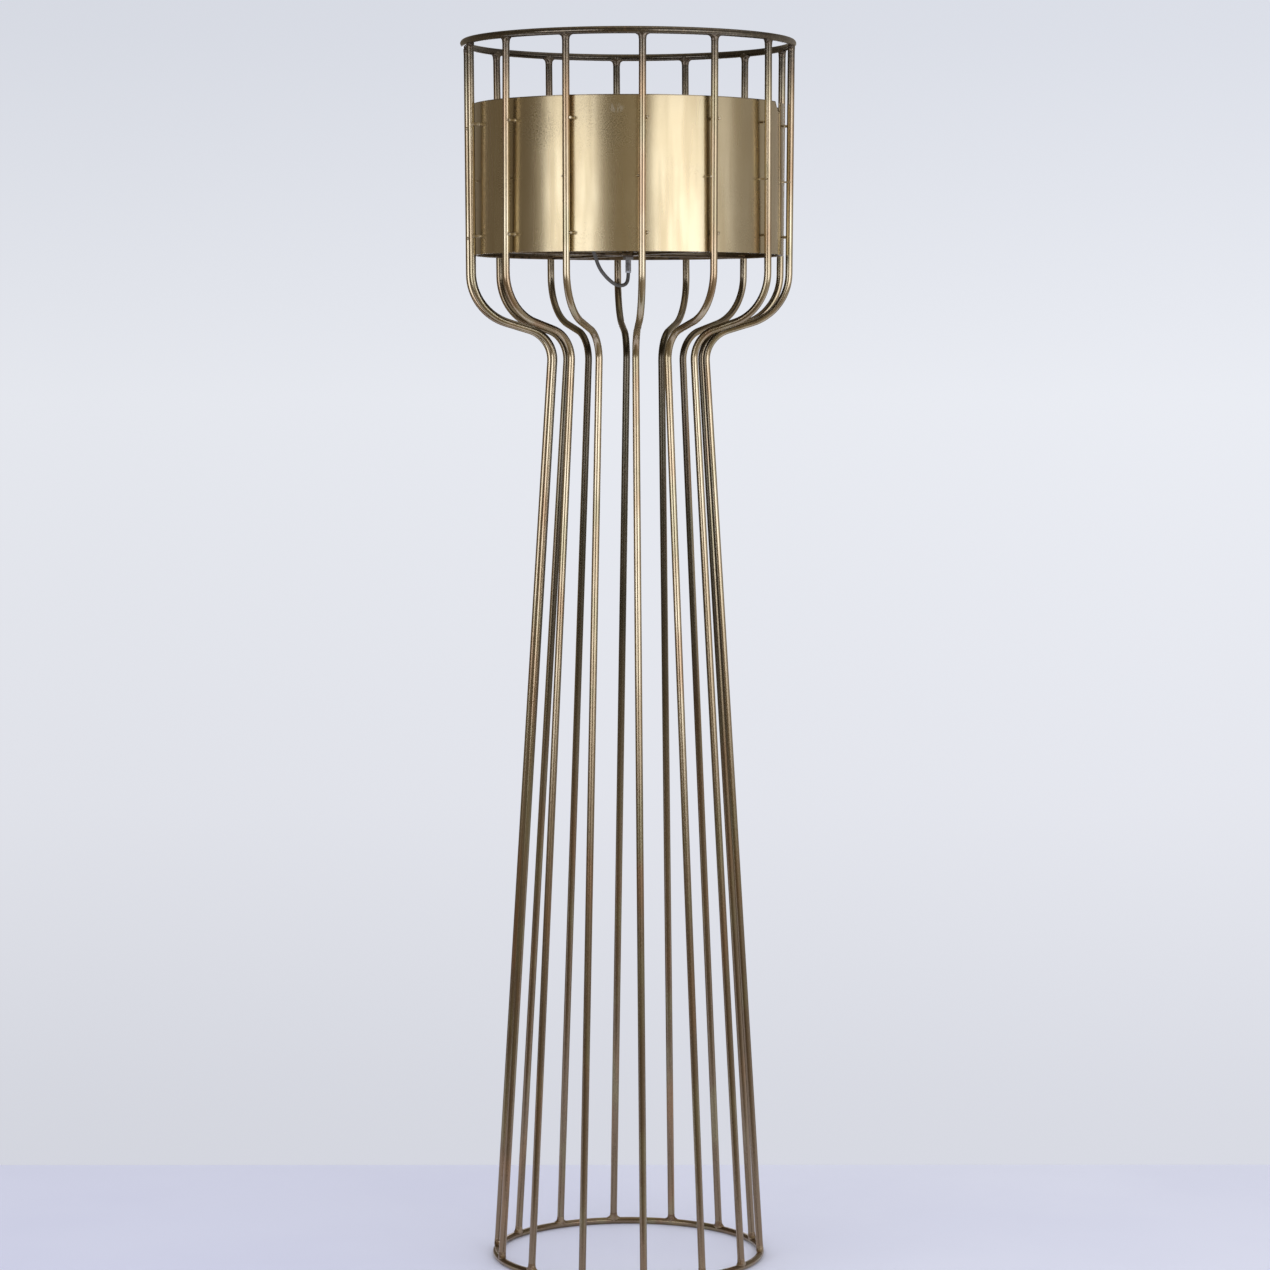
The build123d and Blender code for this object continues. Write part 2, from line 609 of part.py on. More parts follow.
def lead_end():
    """The lead's coil, tail and plug; gives the length of lead in them."""
    length = lead_coil()
    last = coil_point(COIL_HALF_TURNS)
    heading = coil_heading(COIL_HALF_TURNS)
    right = heading.cross(Vector(0, 0, 1))
    plug_z = (COIL_LAYERS - 1) * COIL_RISE + LEAD_R + PLUG_LIFT + PLUG_THICK / 2
    plug_rise = COIL_Z + plug_z - last.Z
    rear = last + heading * PLUG_BACK + right * PLUG_SIDE + Vector(0, 0, plug_rise)
    start = last + heading * LEAD_D
    tail = [start]
    for along, across, rise in TAIL_ROUTE:
        tail.append(last + heading * along + right * across + Vector(0, 0, rise))
    tail += [rear + heading * PLUG_RUN, rear]
    length += lead_tube("lead_tail", tail)
    inside_relief = bar(rear, rear - heading * PLUG_RELIEF, LEAD_R)
    write("lead_in_plug", inside_relief)
    for name, shape in plug_pieces(rear, heading * -1).items():
        write(name, shape)
    write("coil_tie", coil_tie())
    return length


def free_lead():
    heading = coil_heading(0)
    meet = coil_point(0) - heading * LEAD_D
    route = LEAD_ROUTE + [tuple(meet - heading * COIL_RUN), tuple(meet)]
    return lead_tube("lead_free", route)


# ---- build --------------------------------------------------------------------------------
def build_cage():
    top = ring_torus(TOP_RING_R, WIRE_R, TOP_RING_Z)
    base = ring_torus(BASE_RING_R, WIRE_R, BASE_RING_Z)
    base -= Pos(0, 0, -HEIGHT / 2) * Box(HEIGHT, HEIGHT, HEIGHT)
    write("top_ring", top)
    write("base_ring", base)

    clearance = WIRE_R + ROOT_GAP
    rings = [ring_torus(TOP_RING_R, clearance, TOP_RING_Z), ring_torus(BASE_RING_R, clearance, BASE_RING_Z)]
    under_top = drum(TOP_RING_R + 50, 0, TOP_RING_Z)
    over_base = drum(TOP_RING_R + 50, BASE_RING_Z, HEIGHT)
    top_welds, base_welds = [], []
    for k in range(ROD_COUNT):
        write(f"rod_{k + 1:02d}", rod(k, rings).solid())
        head, shoulder, waist, foot = rod_corners(k)
        top_welds.append((weld(head, shoulder, top) & under_top).solid())
        base_welds.append((weld(foot, waist, base) & over_base).solid())
    write("top_ring_welds", group(top_welds))
    write("base_ring_welds", group(base_welds))


def build_shade():
    write("shade_drum", shade_sheet())
    hoop = ring_torus(HOOP_R, HOOP_WIRE_R, HOOP_Z)
    write("shade_hoop", hoop)
    rows = zip(("lower", "middle", "upper"), STANDOFF_HEIGHTS, STANDOFF_RADII, STANDOFF_SIDES)
    for name, height, radius, side in rows:
        pins = [standoff(k, height, radius, side).solid() for k in range(ROD_COUNT)]
        write(f"{name}_standoffs", group(pins))
    write("spider_arms", group(spider_arm(angle, hoop) for angle in ARM_ANGLES))
    write("spider_arm_welds", group(arm_weld(angle, hoop) for angle in ARM_ANGLES))


def build_middle():
    over_thread = NIPPLE_R + THREAD_FIT
    write("spider_hub", tube(HUB_R, over_thread, SHADE_BOTTOM, ARM_TOP))
    lip_top = NIPPLE_END + BUSHING_LIP
    write("threaded_nipple", tube(NIPPLE_R, NIPPLE_BORE_R, lip_top, NIPPLE_TOP))
    bore = LEAD_R + 0.1
    bushing = turning(
        (bore, NIPPLE_END), (NIPPLE_R - 0.8, NIPPLE_END), (NIPPLE_R, lip_top - 0.6), (NIPPLE_R, lip_top),
        (NIPPLE_BORE_R, lip_top), (NIPPLE_BORE_R, lip_top + 6), (bore, lip_top + 6),
    )
    write("cord_bushing", bushing)
    write("lower_washer", tube(LOWER_WASHER_R, over_thread, WASHER_Z, SHADE_BOTTOM))
    write("lower_locknut", hexagon_nut(NUT_Z, NUT_THICK, NIPPLE_R))
    write("upper_washer", tube(UPPER_WASHER_R, over_thread, ARM_TOP, ARM_TOP + UPPER_WASHER_THICK))
    write("lead_in_nipple", drum(LEAD_R, NIPPLE_END, LEAD_INSIDE_TOP))
    holder = holder_pieces()
    for name, shape in holder.items():
        write(name, shape)
    for name, shape in bulb_pieces().items():
        write(name, shape)
    screw, wire = earth_pieces(holder["lampholder_cap"])
    write("earth_screw", screw)
    write("earth_wire", wire)
    write("lead_cores", lead_cores())


def main():
    os.makedirs("parts", exist_ok=True)
    build_cage()
    build_shade()
    build_middle()
    lead = free_lead() + lead_end()
    print("lead outside the lamp, mm", round(lead, 0))


main()
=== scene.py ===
"""Dresses the wire cage floor lamp: rods, rings, welds, shade, lampholder, bulb and lead.

Metres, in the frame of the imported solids: +Z up, the floor at 0, -Y the side that is looked at.
"""

import json
import logging
import math
from collections.abc import Callable, Sequence
from dataclasses import dataclass, field
from enum import Enum

import bmesh
import bpy
from mathutils import Matrix, Vector


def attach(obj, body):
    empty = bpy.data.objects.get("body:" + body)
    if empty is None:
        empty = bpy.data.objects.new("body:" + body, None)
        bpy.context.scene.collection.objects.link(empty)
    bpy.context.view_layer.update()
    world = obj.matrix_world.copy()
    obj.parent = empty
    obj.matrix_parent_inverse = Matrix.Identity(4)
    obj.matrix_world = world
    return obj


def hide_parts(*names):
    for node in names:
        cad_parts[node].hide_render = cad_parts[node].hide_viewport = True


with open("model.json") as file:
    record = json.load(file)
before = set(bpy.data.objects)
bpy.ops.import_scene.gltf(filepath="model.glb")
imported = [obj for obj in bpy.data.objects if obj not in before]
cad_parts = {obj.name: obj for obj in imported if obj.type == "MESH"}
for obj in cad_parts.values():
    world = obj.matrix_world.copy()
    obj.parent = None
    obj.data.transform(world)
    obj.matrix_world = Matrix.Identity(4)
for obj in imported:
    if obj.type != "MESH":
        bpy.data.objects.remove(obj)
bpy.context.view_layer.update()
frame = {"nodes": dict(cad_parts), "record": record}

LOG = logging.getLogger("floor_lamp")
MM = 0.001
SAME = 1e-6  # points nearer than this are one point
UP = Vector((0, 0, 1))
Pair = tuple[float, float]
Colour = tuple[float, float, float]
Socket = bpy.types.NodeSocket
Value = float | Socket
Stops = Sequence[tuple[float, Colour]]


def around(angle: float, radius: float, height: float = 0.0) -> Vector:
    """Finds a point by its angle about the lamp's axis.

    Args:
        angle: degrees from the front, counted towards +X.
        radius: distance from the axis.
        height: distance from the floor.

    Returns:
        The point.
    """
    turn = math.radians(angle)
    return Vector((radius * math.sin(turn), -radius * math.cos(turn), height))


def raised(low: float, *outline: tuple[float, float]) -> list[tuple[float, float]]:
    """Sets an outline in millimetres over a height.

    Args:
        low: what its heights are counted from, in metres.
        outline: radius and height of each corner.

    Returns:
        The corners in metres.
    """
    return [(radius * MM, low + rise * MM) for radius, rise in outline]


# ---- Modelling by hand ----
class Pick(Enum):
    """What a selection is made of."""

    POINTS = "VERT"
    EDGES = "EDGE"
    FACES = "FACE"


class Bench:
    """The moves that shape a piece: add, select, extrude, bend, scale, cut, finish."""

    @staticmethod
    def clear() -> None:
        """Leaves edit mode and lets go of all that is selected."""
        if bpy.context.mode != "OBJECT":
            bpy.ops.object.mode_set(mode="OBJECT")
        bpy.ops.object.select_all(action="DESELECT")

    @staticmethod
    def open(name: str) -> bpy.types.Object:
        """Names the new primitive, moves its place into its mesh and opens it for shaping."""
        piece = bpy.context.object
        piece.name = piece.data.name = name
        bpy.ops.object.transform_apply(location=True, rotation=True, scale=True)
        bpy.ops.object.mode_set(mode="EDIT")
        bpy.ops.mesh.select_mode(type="VERT")
        bpy.ops.mesh.select_all(action="SELECT")
        return piece

    @classmethod
    def disc(
        cls, name: str, radius: float, place: Vector, heading: Vector, sides: int,
    ) -> bpy.types.Object:
        """Starts a piece as a flat disc.

        Args:
            name: the piece's name.
            radius: the disc's radius.
            place: its centre.
            heading: the way it faces.
            sides: how many sides stand for its circle.

        Returns:
            The piece, open in edit mode, all selected.
        """
        cls.clear()
        turn = heading.to_track_quat("Z", "X").to_euler()
        bpy.ops.mesh.primitive_circle_add(
            vertices=sides, radius=radius, fill_type="NGON", location=place, rotation=turn
        )
        return cls.open(name)

    @classmethod
    def block(cls, name: str, size: Sequence[float], place: Vector) -> bpy.types.Object:
        """Starts a piece as a box.

        Args:
            name: the piece's name.
            size: its length along X, Y and Z.
            place: its centre.

        Returns:
            The piece, open in edit mode, all selected.
        """
        cls.clear()
        bpy.ops.mesh.primitive_cube_add(size=1, location=place, scale=size)
        return cls.open(name)

    @staticmethod
    def pick(kind: Pick, test: Callable[[object], bool]) -> None:
        """Selects by place or normal.

        Args:
            kind: points, edges or faces.
            test: says of one of them whether it is wanted.
        """
        bpy.ops.mesh.select_mode(type=kind.value)
        bpy.ops.mesh.select_all(action="DESELECT")
        mesh = bpy.context.edit_object.data
        shell = bmesh.from_edit_mesh(mesh)
        group = {Pick.POINTS: shell.verts, Pick.EDGES: shell.edges, Pick.FACES: shell.faces}[kind]
        for item in group:
            if test(item):
                item.select_set(True)
        shell.select_flush_mode()
        bmesh.update_edit_mesh(mesh)

    @staticmethod
    def centre() -> Vector:
        """The middle of the points that are selected."""
        shell = bmesh.from_edit_mesh(bpy.context.edit_object.data)
        chosen = [vert.co for vert in shell.verts if vert.select]
        return sum(chosen, Vector()) / len(chosen)

    @staticmethod
    def extrude(move: Sequence[float]) -> None:
        """Draws out what is selected by a move."""
        bpy.ops.mesh.extrude_region_move(TRANSFORM_OT_translate={"value": tuple(move)})

    @staticmethod
    def scale(factors: Sequence[float], centre: Sequence[float]) -> None:
        """Scales what is selected along X, Y and Z about a point."""
        bpy.ops.transform.resize(value=tuple(factors), center_override=tuple(centre))

    @staticmethod
    def bend(angle: float, centre: Sequence[float], axis: Sequence[float], steps: int) -> None:
        """Draws out what is selected round an axis.

        Args:
            angle: radians, by the right hand about the axis.
            centre: a point on the axis.
            axis: its direction.
            steps: how many segments the bend has.
        """
        bpy.ops.mesh.spin(steps=steps, angle=-angle, center=tuple(centre), axis=tuple(axis))

    @staticmethod
    def cut(place: Sequence[float], away: Sequence[float]) -> None:
        """Cuts what is selected with a plane, drops the side that it faces and closes the cut."""
        bpy.ops.mesh.bisect(plane_co=tuple(place), plane_no=tuple(away), use_fill=True, clear_outer=True)

    @staticmethod
    def close(piece: bpy.types.Object, crease: float = 35.0, outward: bool = True) -> bpy.types.Object:
        """Ends the shaping of a piece.

        Args:
            piece: the piece that is open.
            crease: degrees between two faces past which their edge stays sharp.
            outward: turn all faces to the outside first.

        Returns:
            The piece.
        """
        if outward:
            bpy.ops.mesh.select_all(action="SELECT")
            bpy.ops.mesh.remove_doubles(threshold=SAME)
            bpy.ops.mesh.normals_make_consistent(inside=False)
        bpy.ops.object.mode_set(mode="OBJECT")
        Bench.smooth(piece, crease)
        return piece

    @classmethod
    def choose(cls, piece: bpy.types.Object) -> None:
        """Makes a piece the only one that is selected."""
        cls.clear()
        piece.select_set(True)
        bpy.context.view_layer.objects.active = piece

    @classmethod
    def smooth(cls, piece: bpy.types.Object, crease: float = 35.0) -> None:
        """Shades a piece smooth, apart from edges sharper than a crease in degrees."""
        cls.choose(piece)
        bpy.ops.object.shade_smooth_by_angle(angle=math.radians(crease))

    @classmethod
    def modify(cls, piece: bpy.types.Object, kind: str, **settings: object) -> None:
        """Adds a modifier with its settings and applies it."""
        cls.choose(piece)
        modifier = piece.modifiers.new(kind.lower(), kind)
        for name, value in settings.items():
            setattr(modifier, name, value)
        bpy.ops.object.modifier_apply(modifier=modifier.name)

    @classmethod
    def soften(cls, piece: bpy.types.Object, width: float, segments: int = 2) -> None:
        """Rounds every sharp edge of a piece by a small width."""
        cls.modify(
            piece, "BEVEL", width=width, segments=segments, limit_method="ANGLE",
            angle_limit=math.radians(40), harden_normals=False,
        )
        cls.smooth(piece)

    @staticmethod
    def copy(piece: bpy.types.Object, name: str, place: Matrix) -> bpy.types.Object:
        """Makes a copy with its own mesh at another place, which goes into that mesh."""
        twin = piece.copy()
        twin.data = piece.data.copy()
        twin.name = twin.data.name = name
        bpy.context.scene.collection.objects.link(twin)
        twin.data.transform(place)
        return twin

    @classmethod
    def ring_of(cls, piece: bpy.types.Object, name: str, turns: Sequence[float]) -> bpy.types.Object:
        """Copies a piece to several angles about the lamp's axis and joins the copies.

        Args:
            piece: the piece, which is used up.
            name: the joined piece's name.
            turns: degrees.

        Returns:
            The joined piece.
        """
        copies = [cls.copy(piece, name, Matrix.Rotation(math.radians(turn), 4, "Z")) for turn in turns]
        bpy.data.objects.remove(piece)
        return cls.join(copies, name)

    @classmethod
    def join(cls, pieces: Sequence[bpy.types.Object], name: str) -> bpy.types.Object:
        """Joins pieces into the first of them, under a name."""
        cls.clear()
        for piece in pieces:
            piece.select_set(True)
        bpy.context.view_layer.objects.active = pieces[0]
        if len(pieces) > 1:
            bpy.ops.object.join()
        pieces[0].name = pieces[0].data.name = name
        return pieces[0]

    @classmethod
    def outlined(
        cls, name: str, outline: Sequence[tuple[float, float]], low: float = 0.0, speck: float = MM,
    ) -> bpy.types.Object:
        """Starts a piece as a line of edges beside the lamp's axis.

        Args:
            name: the piece's name.
            outline: radius and height of each corner.
            low: what the heights are counted from.
            speck: the size of the plane that shrinks to the first corner.

        Returns:
            The piece, open in edit mode, its last corner selected.
        """
        cls.clear()
        bpy.ops.mesh.primitive_plane_add(size=speck, location=(outline[0][0], 0, low + outline[0][1]))
        piece = cls.open(name)
        bpy.ops.mesh.merge(type="CENTER")
        for (radius, height), (next_radius, next_height) in zip(outline, outline[1:]):
            cls.extrude((next_radius - radius, 0, next_height - height))
        return piece

    @classmethod
    def turned(
        cls, name: str, outline: Sequence[tuple[float, float]], sides: int = 64, edge: float = 0.0,
    ) -> bpy.types.Object:
        """Turns a part on the lamp's axis from its half outline.

        Args:
            name: the piece's name.
            outline: radius and height of each corner; the last repeats the first on a ring.
            sides: how many sides its circles have.
            edge: how far its edges are rounded.

        Returns:
            The finished piece.
        """
        piece = cls.outlined(name, outline)
        bpy.ops.mesh.select_all(action="SELECT")
        cls.bend(math.tau, (0, 0, 0), UP, sides)
        cls.close(piece)
        if edge:
            cls.soften(piece, edge)
        return piece

    @classmethod
    def washer(
        cls, name: str, radii: tuple[float, float], heights: tuple[float, float], sides: int, edge: float,
    ) -> bpy.types.Object:
        """Turns a flat ring.

        Args:
            name: the piece's name.
            radii: of its hole and its rim.
            heights: of its lower and its upper face.
            sides: how many sides its circles have.
            edge: how far its edges are rounded.

        Returns:
            The finished piece.
        """
        (bore, rim), (low, high) = radii, heights
        outline = [(bore, low), (rim, low), (rim, high), (bore, high), (bore, low)]
        return cls.turned(name, outline, sides, edge)

    @classmethod
    def threaded(
        cls, name: str, outline: Sequence[tuple[float, float]], pitch: float, low: float, high: float,
    ) -> bpy.types.Object:
        """Winds a thread on the lamp's axis and cuts it off level at both ends.

        Args:
            name: the piece's name.
            outline: radius and height of the corners over one pitch.
            pitch: the rise of one turn.
            low: where the thread is cut below.
            high: where it is cut above.

        Returns:
            The finished piece.
        """
        piece = cls.outlined(name, outline, low - pitch, MM / 10)
        bpy.ops.object.mode_set(mode="OBJECT")
        turns = math.ceil((high - low) / pitch) + 2
        cls.modify(
            piece, "SCREW", axis="Z", screw_offset=pitch, iterations=turns, steps=36, render_steps=36,
            use_merge_vertices=True, merge_threshold=SAME,
        )
        bpy.ops.object.mode_set(mode="EDIT")
        bpy.ops.mesh.select_all(action="SELECT")
        bpy.ops.mesh.remove_doubles(threshold=SAME)
        for height, away in ((low, -UP), (high, UP)):
            bpy.ops.mesh.select_all(action="SELECT")
            cls.cut((0, 0, height), away)
        return cls.close(piece, 50)

    @classmethod
    def drawn(
        cls, name: str, corners: Sequence[Vector], bends: Sequence[float], radius: float,
        sides: int = 20, steps: int = 14, runs: int = 1,
    ) -> bpy.types.Object:
        """Draws a wire along straight runs and round bends.

        Args:
            name: the piece's name.
            corners: the ends and corners of its centre line.
            bends: the radius of the bend at each inner corner.
            radius: half the wire's thickness.
            sides: how many sides the wire has.
            steps: segments in each bend.
            runs: segments in each straight run.

        Returns:
            The piece, closed at both ends.
        """
        piece = cls.disc(name, radius, corners[0], corners[1] - corners[0], sides)
        here = corners[0]
        for before, corner, after, bend in zip(corners, corners[1:], corners[2:], bends):
            way_in, way_out = (corner - before).normalized(), (after - corner).normalized()
            angle = way_in.angle(way_out)
            reach = bend * math.tan(angle / 2)
            start = corner - way_in * reach
            for _ in range(runs):
                cls.extrude((start - here) / runs)
            axis = way_in.cross(way_out).normalized()
            cls.bend(angle, start + axis.cross(way_in) * bend, axis, steps)
            here = corner + way_out * reach
        for _ in range(runs):
            cls.extrude((corners[-1] - here) / runs)
        return cls.close(piece)


# ---- Finishes ----
class Recipe:
    """The nodes of a finish, or of the world round the lamp, mixed step by step."""

    def __init__(self, name: str, world: bool = False) -> None:
        """Starts an empty finish or world under a name."""
        kind, place = ("World", "Generated") if world else ("Material", "Object")
        self.owner = (bpy.data.worlds if world else bpy.data.materials).new(name)
        self.owner.use_nodes = True
        self.nodes = self.owner.node_tree.nodes
        self.nodes.clear()
        self.output = self.nodes.new("ShaderNodeOutput" + kind).inputs["Surface"]
        self.place = self.nodes.new("ShaderNodeTexCoord").outputs[place]

    def feed(self, socket: Socket, value: object) -> None:
        """Links a socket into another, or sets the number or colour that it is given."""
        if isinstance(value, bpy.types.NodeSocket):
            self.owner.node_tree.links.new(value, socket)
        elif socket.type == "RGBA" and len(value) == 3:
            socket.default_value = (*value, 1)
        else:
            socket.default_value = value

    def node(self, kind: str, settings: dict[str, object], **inputs: object) -> bpy.types.Node:
        """Adds a node.

        Args:
            kind: the node's type, without its ShaderNode prefix.
            settings: its own properties.
            inputs: what goes into its sockets, with _ for a space.

        Returns:
            The node.
        """
        node = self.nodes.new("ShaderNode" + kind)
        for name, value in settings.items():
            setattr(node, name, value)
        for name, value in inputs.items():
            self.feed(node.inputs[name.replace("_", " ")], value)
        return node

    def noise(self, scale: float, detail: float = 3, stretch: Sequence[float] = (1, 1, 1)) -> Socket:
        """Uneven tone.

        Args:
            scale: patches in a metre, about.
            detail: how many finer patches it has.
            stretch: how much closer they lie along X, Y and Z.

        Returns:
            A value about 0.5.
        """
        place = self.place
        if tuple(stretch) != (1, 1, 1):
            place = self.node("Mapping", {}, Vector=place, Scale=stretch).outputs[0]
        return self.node("TexNoise", {}, Vector=place, Scale=scale, Detail=detail).outputs["Fac"]

    def maths(self, kind: str, first: Value, second: Value = 0.0, clamp: bool = False) -> Socket:
        """Works out one number from two."""
        node = self.nodes.new("ShaderNodeMath")
        node.operation, node.use_clamp = kind, clamp
        self.feed(node.inputs[0], first)
        self.feed(node.inputs[1], second)
        return node.outputs[0]

    def step(self, value: Value, low: float, high: float, least: float = 0.0, most: float = 1.0) -> Socket:
        """Goes smoothly from least to most as a value goes from low to high."""
        settings = {"interpolation_type": "SMOOTHSTEP"}
        node = self.node("MapRange", settings, Value=value)
        for name, number in zip(("From Min", "From Max", "To Min", "To Max"), (low, high, least, most)):
            node.inputs[name].default_value = number
        return node.outputs["Result"]

    def blend(self, share: Value, first: object, second: object, kind: str = "MIX") -> Socket:
        """Goes from one colour to another by a share, or to their product."""
        node = self.nodes.new("ShaderNodeMix")
        node.data_type, node.blend_type = "RGBA", kind
        self.feed(node.inputs["Factor"], share)
        self.feed(node.inputs[6], first)
        self.feed(node.inputs[7], second)
        return node.outputs[2]

    def ramp(self, value: Socket, stops: Stops) -> Socket:
        """Colours a direction's part, which goes from -1 to 1, by stops on its way."""
        share = self.node("MapRange", {}, Value=value)
        share.inputs["From Min"].default_value = -1.0
        node = self.node("ValToRGB", {}, Fac=share.outputs["Result"])
        elements = node.color_ramp.elements
        while len(elements) < len(stops):
            elements.new(1.0)
        for element, (place, colour) in zip(elements, stops):
            element.position = place
            element.color = (*colour, 1)
        return node.outputs["Color"]

    def parts(self) -> tuple[Socket, Socket, Socket]:
        """The place's X, Y and Z."""
        node = self.node("SeparateXYZ", {}, Vector=self.place)
        return node.outputs[0], node.outputs[1], node.outputs[2]

    def relief(self, height: Socket, depth: float, strength: float = 1.0) -> Socket:
        """Turns a height into a dented or raised surface of a real depth."""
        node = self.node("Bump", {}, Height=height, Strength=strength, Distance=depth)
        return node.outputs["Normal"]

    def finish(self, **sockets: object) -> bpy.types.Material:
        """Ends the finish with its surface.

        Args:
            sockets: what goes into the surface's sockets, with _ for a space.

        Returns:
            The material.
        """
        self.feed(self.output, self.node("BsdfPrincipled", {}, **sockets).outputs[0])
        return self.owner


@dataclass(frozen=True)
class AgedWire:
    """Brass wire, blackened and rubbed back, with painted shade darkening its inward side over patina that
    no cloth reaches.
    """

    name: str = "aged_brass_wire"
    rubbed: Colour = (0.64, 0.54, 0.36)
    worn: Colour = (0.52, 0.405, 0.25)
    low: Colour = (0.27, 0.20, 0.13)
    brown: Colour = (0.27, 0.185, 0.11)
    copper: Colour = (0.44, 0.265, 0.145)
    olive: Colour = (0.38, 0.35, 0.20)
    top_darkening: Colour = (0.12, 0.105, 0.085)
    inward_shade_colour: Colour = (0.042, 0.042, 0.038)

    def make(self) -> bpy.types.Material:
        """Mixes the finish."""
        mix = Recipe(self.name)
        x, y, z = mix.parts()
        patches = mix.noise(11, 5, (1, 1, 0.45))
        tone = mix.blend(mix.step(patches, 0.38, 0.60), self.worn, self.rubbed)
        # Darker and browner towards the bottom of the cage.
        tone = mix.blend(mix.step(z, 0.30, 0.95, 0.92, 0.0), tone, self.low)
        tone = mix.blend(mix.step(mix.noise(23, 3, (1, 1, 0.25)), 0.50, 0.66, 0.0, 0.6), tone, self.copper)
        tone = mix.blend(mix.step(mix.noise(31, 3, (1, 1, 0.3)), 0.50, 0.64, 0.0, 0.5), tone, self.olive)
        # Brown patches at the neck's bends: partly tarnish, partly painted shade where the bends face down.
        bend = mix.step(mix.maths("ABSOLUTE", mix.maths("SUBTRACT", z, 1.33)), 0.01, 0.075, 0.6, 0.0)
        tone = mix.blend(mix.maths("MULTIPLY", bend, mix.step(patches, 0.50, 0.64)), tone, self.brown)
        # The upper ring and the heads of the rods are darker, in specks.
        head = mix.step(z, 1.62, 1.705, 0.0, 0.88)
        specks = mix.step(mix.noise(330, 4), 0.30, 0.55, 0.7, 1.0)
        tone = mix.blend(mix.maths("MULTIPLY", head, specks), tone, self.top_darkening)
        foot = mix.step(z, 0.02, 0.16, 0.45, 0.0)
        tone = mix.blend(mix.maths("MULTIPLY", foot, mix.step(patches, 0.40, 0.55)), tone, self.brown)
        # Painted shade on the wire's inward side, over its darker patina there.
        tone = mix.blend(self.inward_shade(mix, x, y, z), tone, self.inward_shade_colour)
        tone = mix.blend(mix.step(mix.noise(430, 2), 0.72, 0.78, 0.0, 0.4), tone, self.brown)
        rough = mix.step(patches, 0.35, 0.65, 0.24, 0.18)
        return mix.finish(
            Base_Color=tone, Metallic=1.0, Roughness=rough,
            Normal=mix.relief(mix.noise(60, 1), 0.07 * MM),
        )

    def inward_shade(self, mix: Recipe, x: Socket, y: Socket, z: Socket) -> Socket:
        """Painted shade where the wire faces the lamp's axis: most in the neck, less beside the drum.

        Args:
            mix: the finish.
            x: place across.
            y: place in depth.
            z: height.

        Returns:
            How much painted shade darkens the wire there.
        """
        out = mix.node("CombineXYZ", {}, X=x, Y=y).outputs[0]
        unit = mix.node("VectorMath", {"operation": "NORMALIZE"})
        mix.feed(unit.inputs[0], out)
        normal = mix.node("NewGeometry", {}).outputs["Normal"]
        facing = mix.node("VectorMath", {"operation": "DOT_PRODUCT"})
        mix.feed(facing.inputs[0], unit.outputs[0])
        mix.feed(facing.inputs[1], normal)
        inward = mix.step(facing.outputs["Value"], 0.25, -0.45)
        neck = mix.maths("MULTIPLY", mix.step(z, 0.45, 0.95), mix.step(z, 1.30, 1.44, 1.0, 0.0))
        level = mix.maths("ADD", mix.maths("MULTIPLY", neck, 0.78), mix.step(z, 1.38, 1.43, 0.0, 0.38))
        return mix.maths("MULTIPLY", inward, level)


@dataclass(frozen=True)
class WeldMetal:
    """Brazed metal: heat-browned, with bright specks, and darker at the lamp's top."""

    name: str = "weld_brass"
    bright: Colour = (0.70, 0.54, 0.30)
    filed: Colour = (0.80, 0.69, 0.46)
    base: Colour = (0.42, 0.32, 0.20)
    brown: Colour = (0.20, 0.125, 0.075)
    top_darkening: Colour = (0.14, 0.12, 0.095)

    def make(self) -> bpy.types.Material:
        """Mixes the finish."""
        mix = Recipe(self.name)
        _, _, z = mix.parts()
        beads = mix.noise(420, 3)
        burnt = mix.noise(90, 2)
        tone = mix.blend(mix.step(burnt, 0.42, 0.62, 0.15, 0.85), self.base, self.brown)
        tone = mix.blend(mix.step(beads, 0.60, 0.72, 0.0, 0.8), tone, self.bright)
        pins = mix.maths("MULTIPLY", mix.step(z, 1.43, 1.44), mix.step(z, 1.610, 1.615, 0.75, 0.0))
        tone = mix.blend(pins, tone, self.filed)
        tone = mix.blend(mix.step(z, 1.62, 1.70, 0.0, 0.8), tone, self.top_darkening)
        height = mix.maths("ADD", beads, mix.noise(160, 2))
        return mix.finish(
            Base_Color=tone, Metallic=1.0, Roughness=mix.step(beads, 0.3, 0.7, 0.38, 0.26),
            Normal=mix.relief(height, 0.18 * MM),
        )


class Side(Enum):
    """The two faces of the shade's sheet."""

    OUTSIDE = "shade_brass"
    INSIDE = "shade_lining"


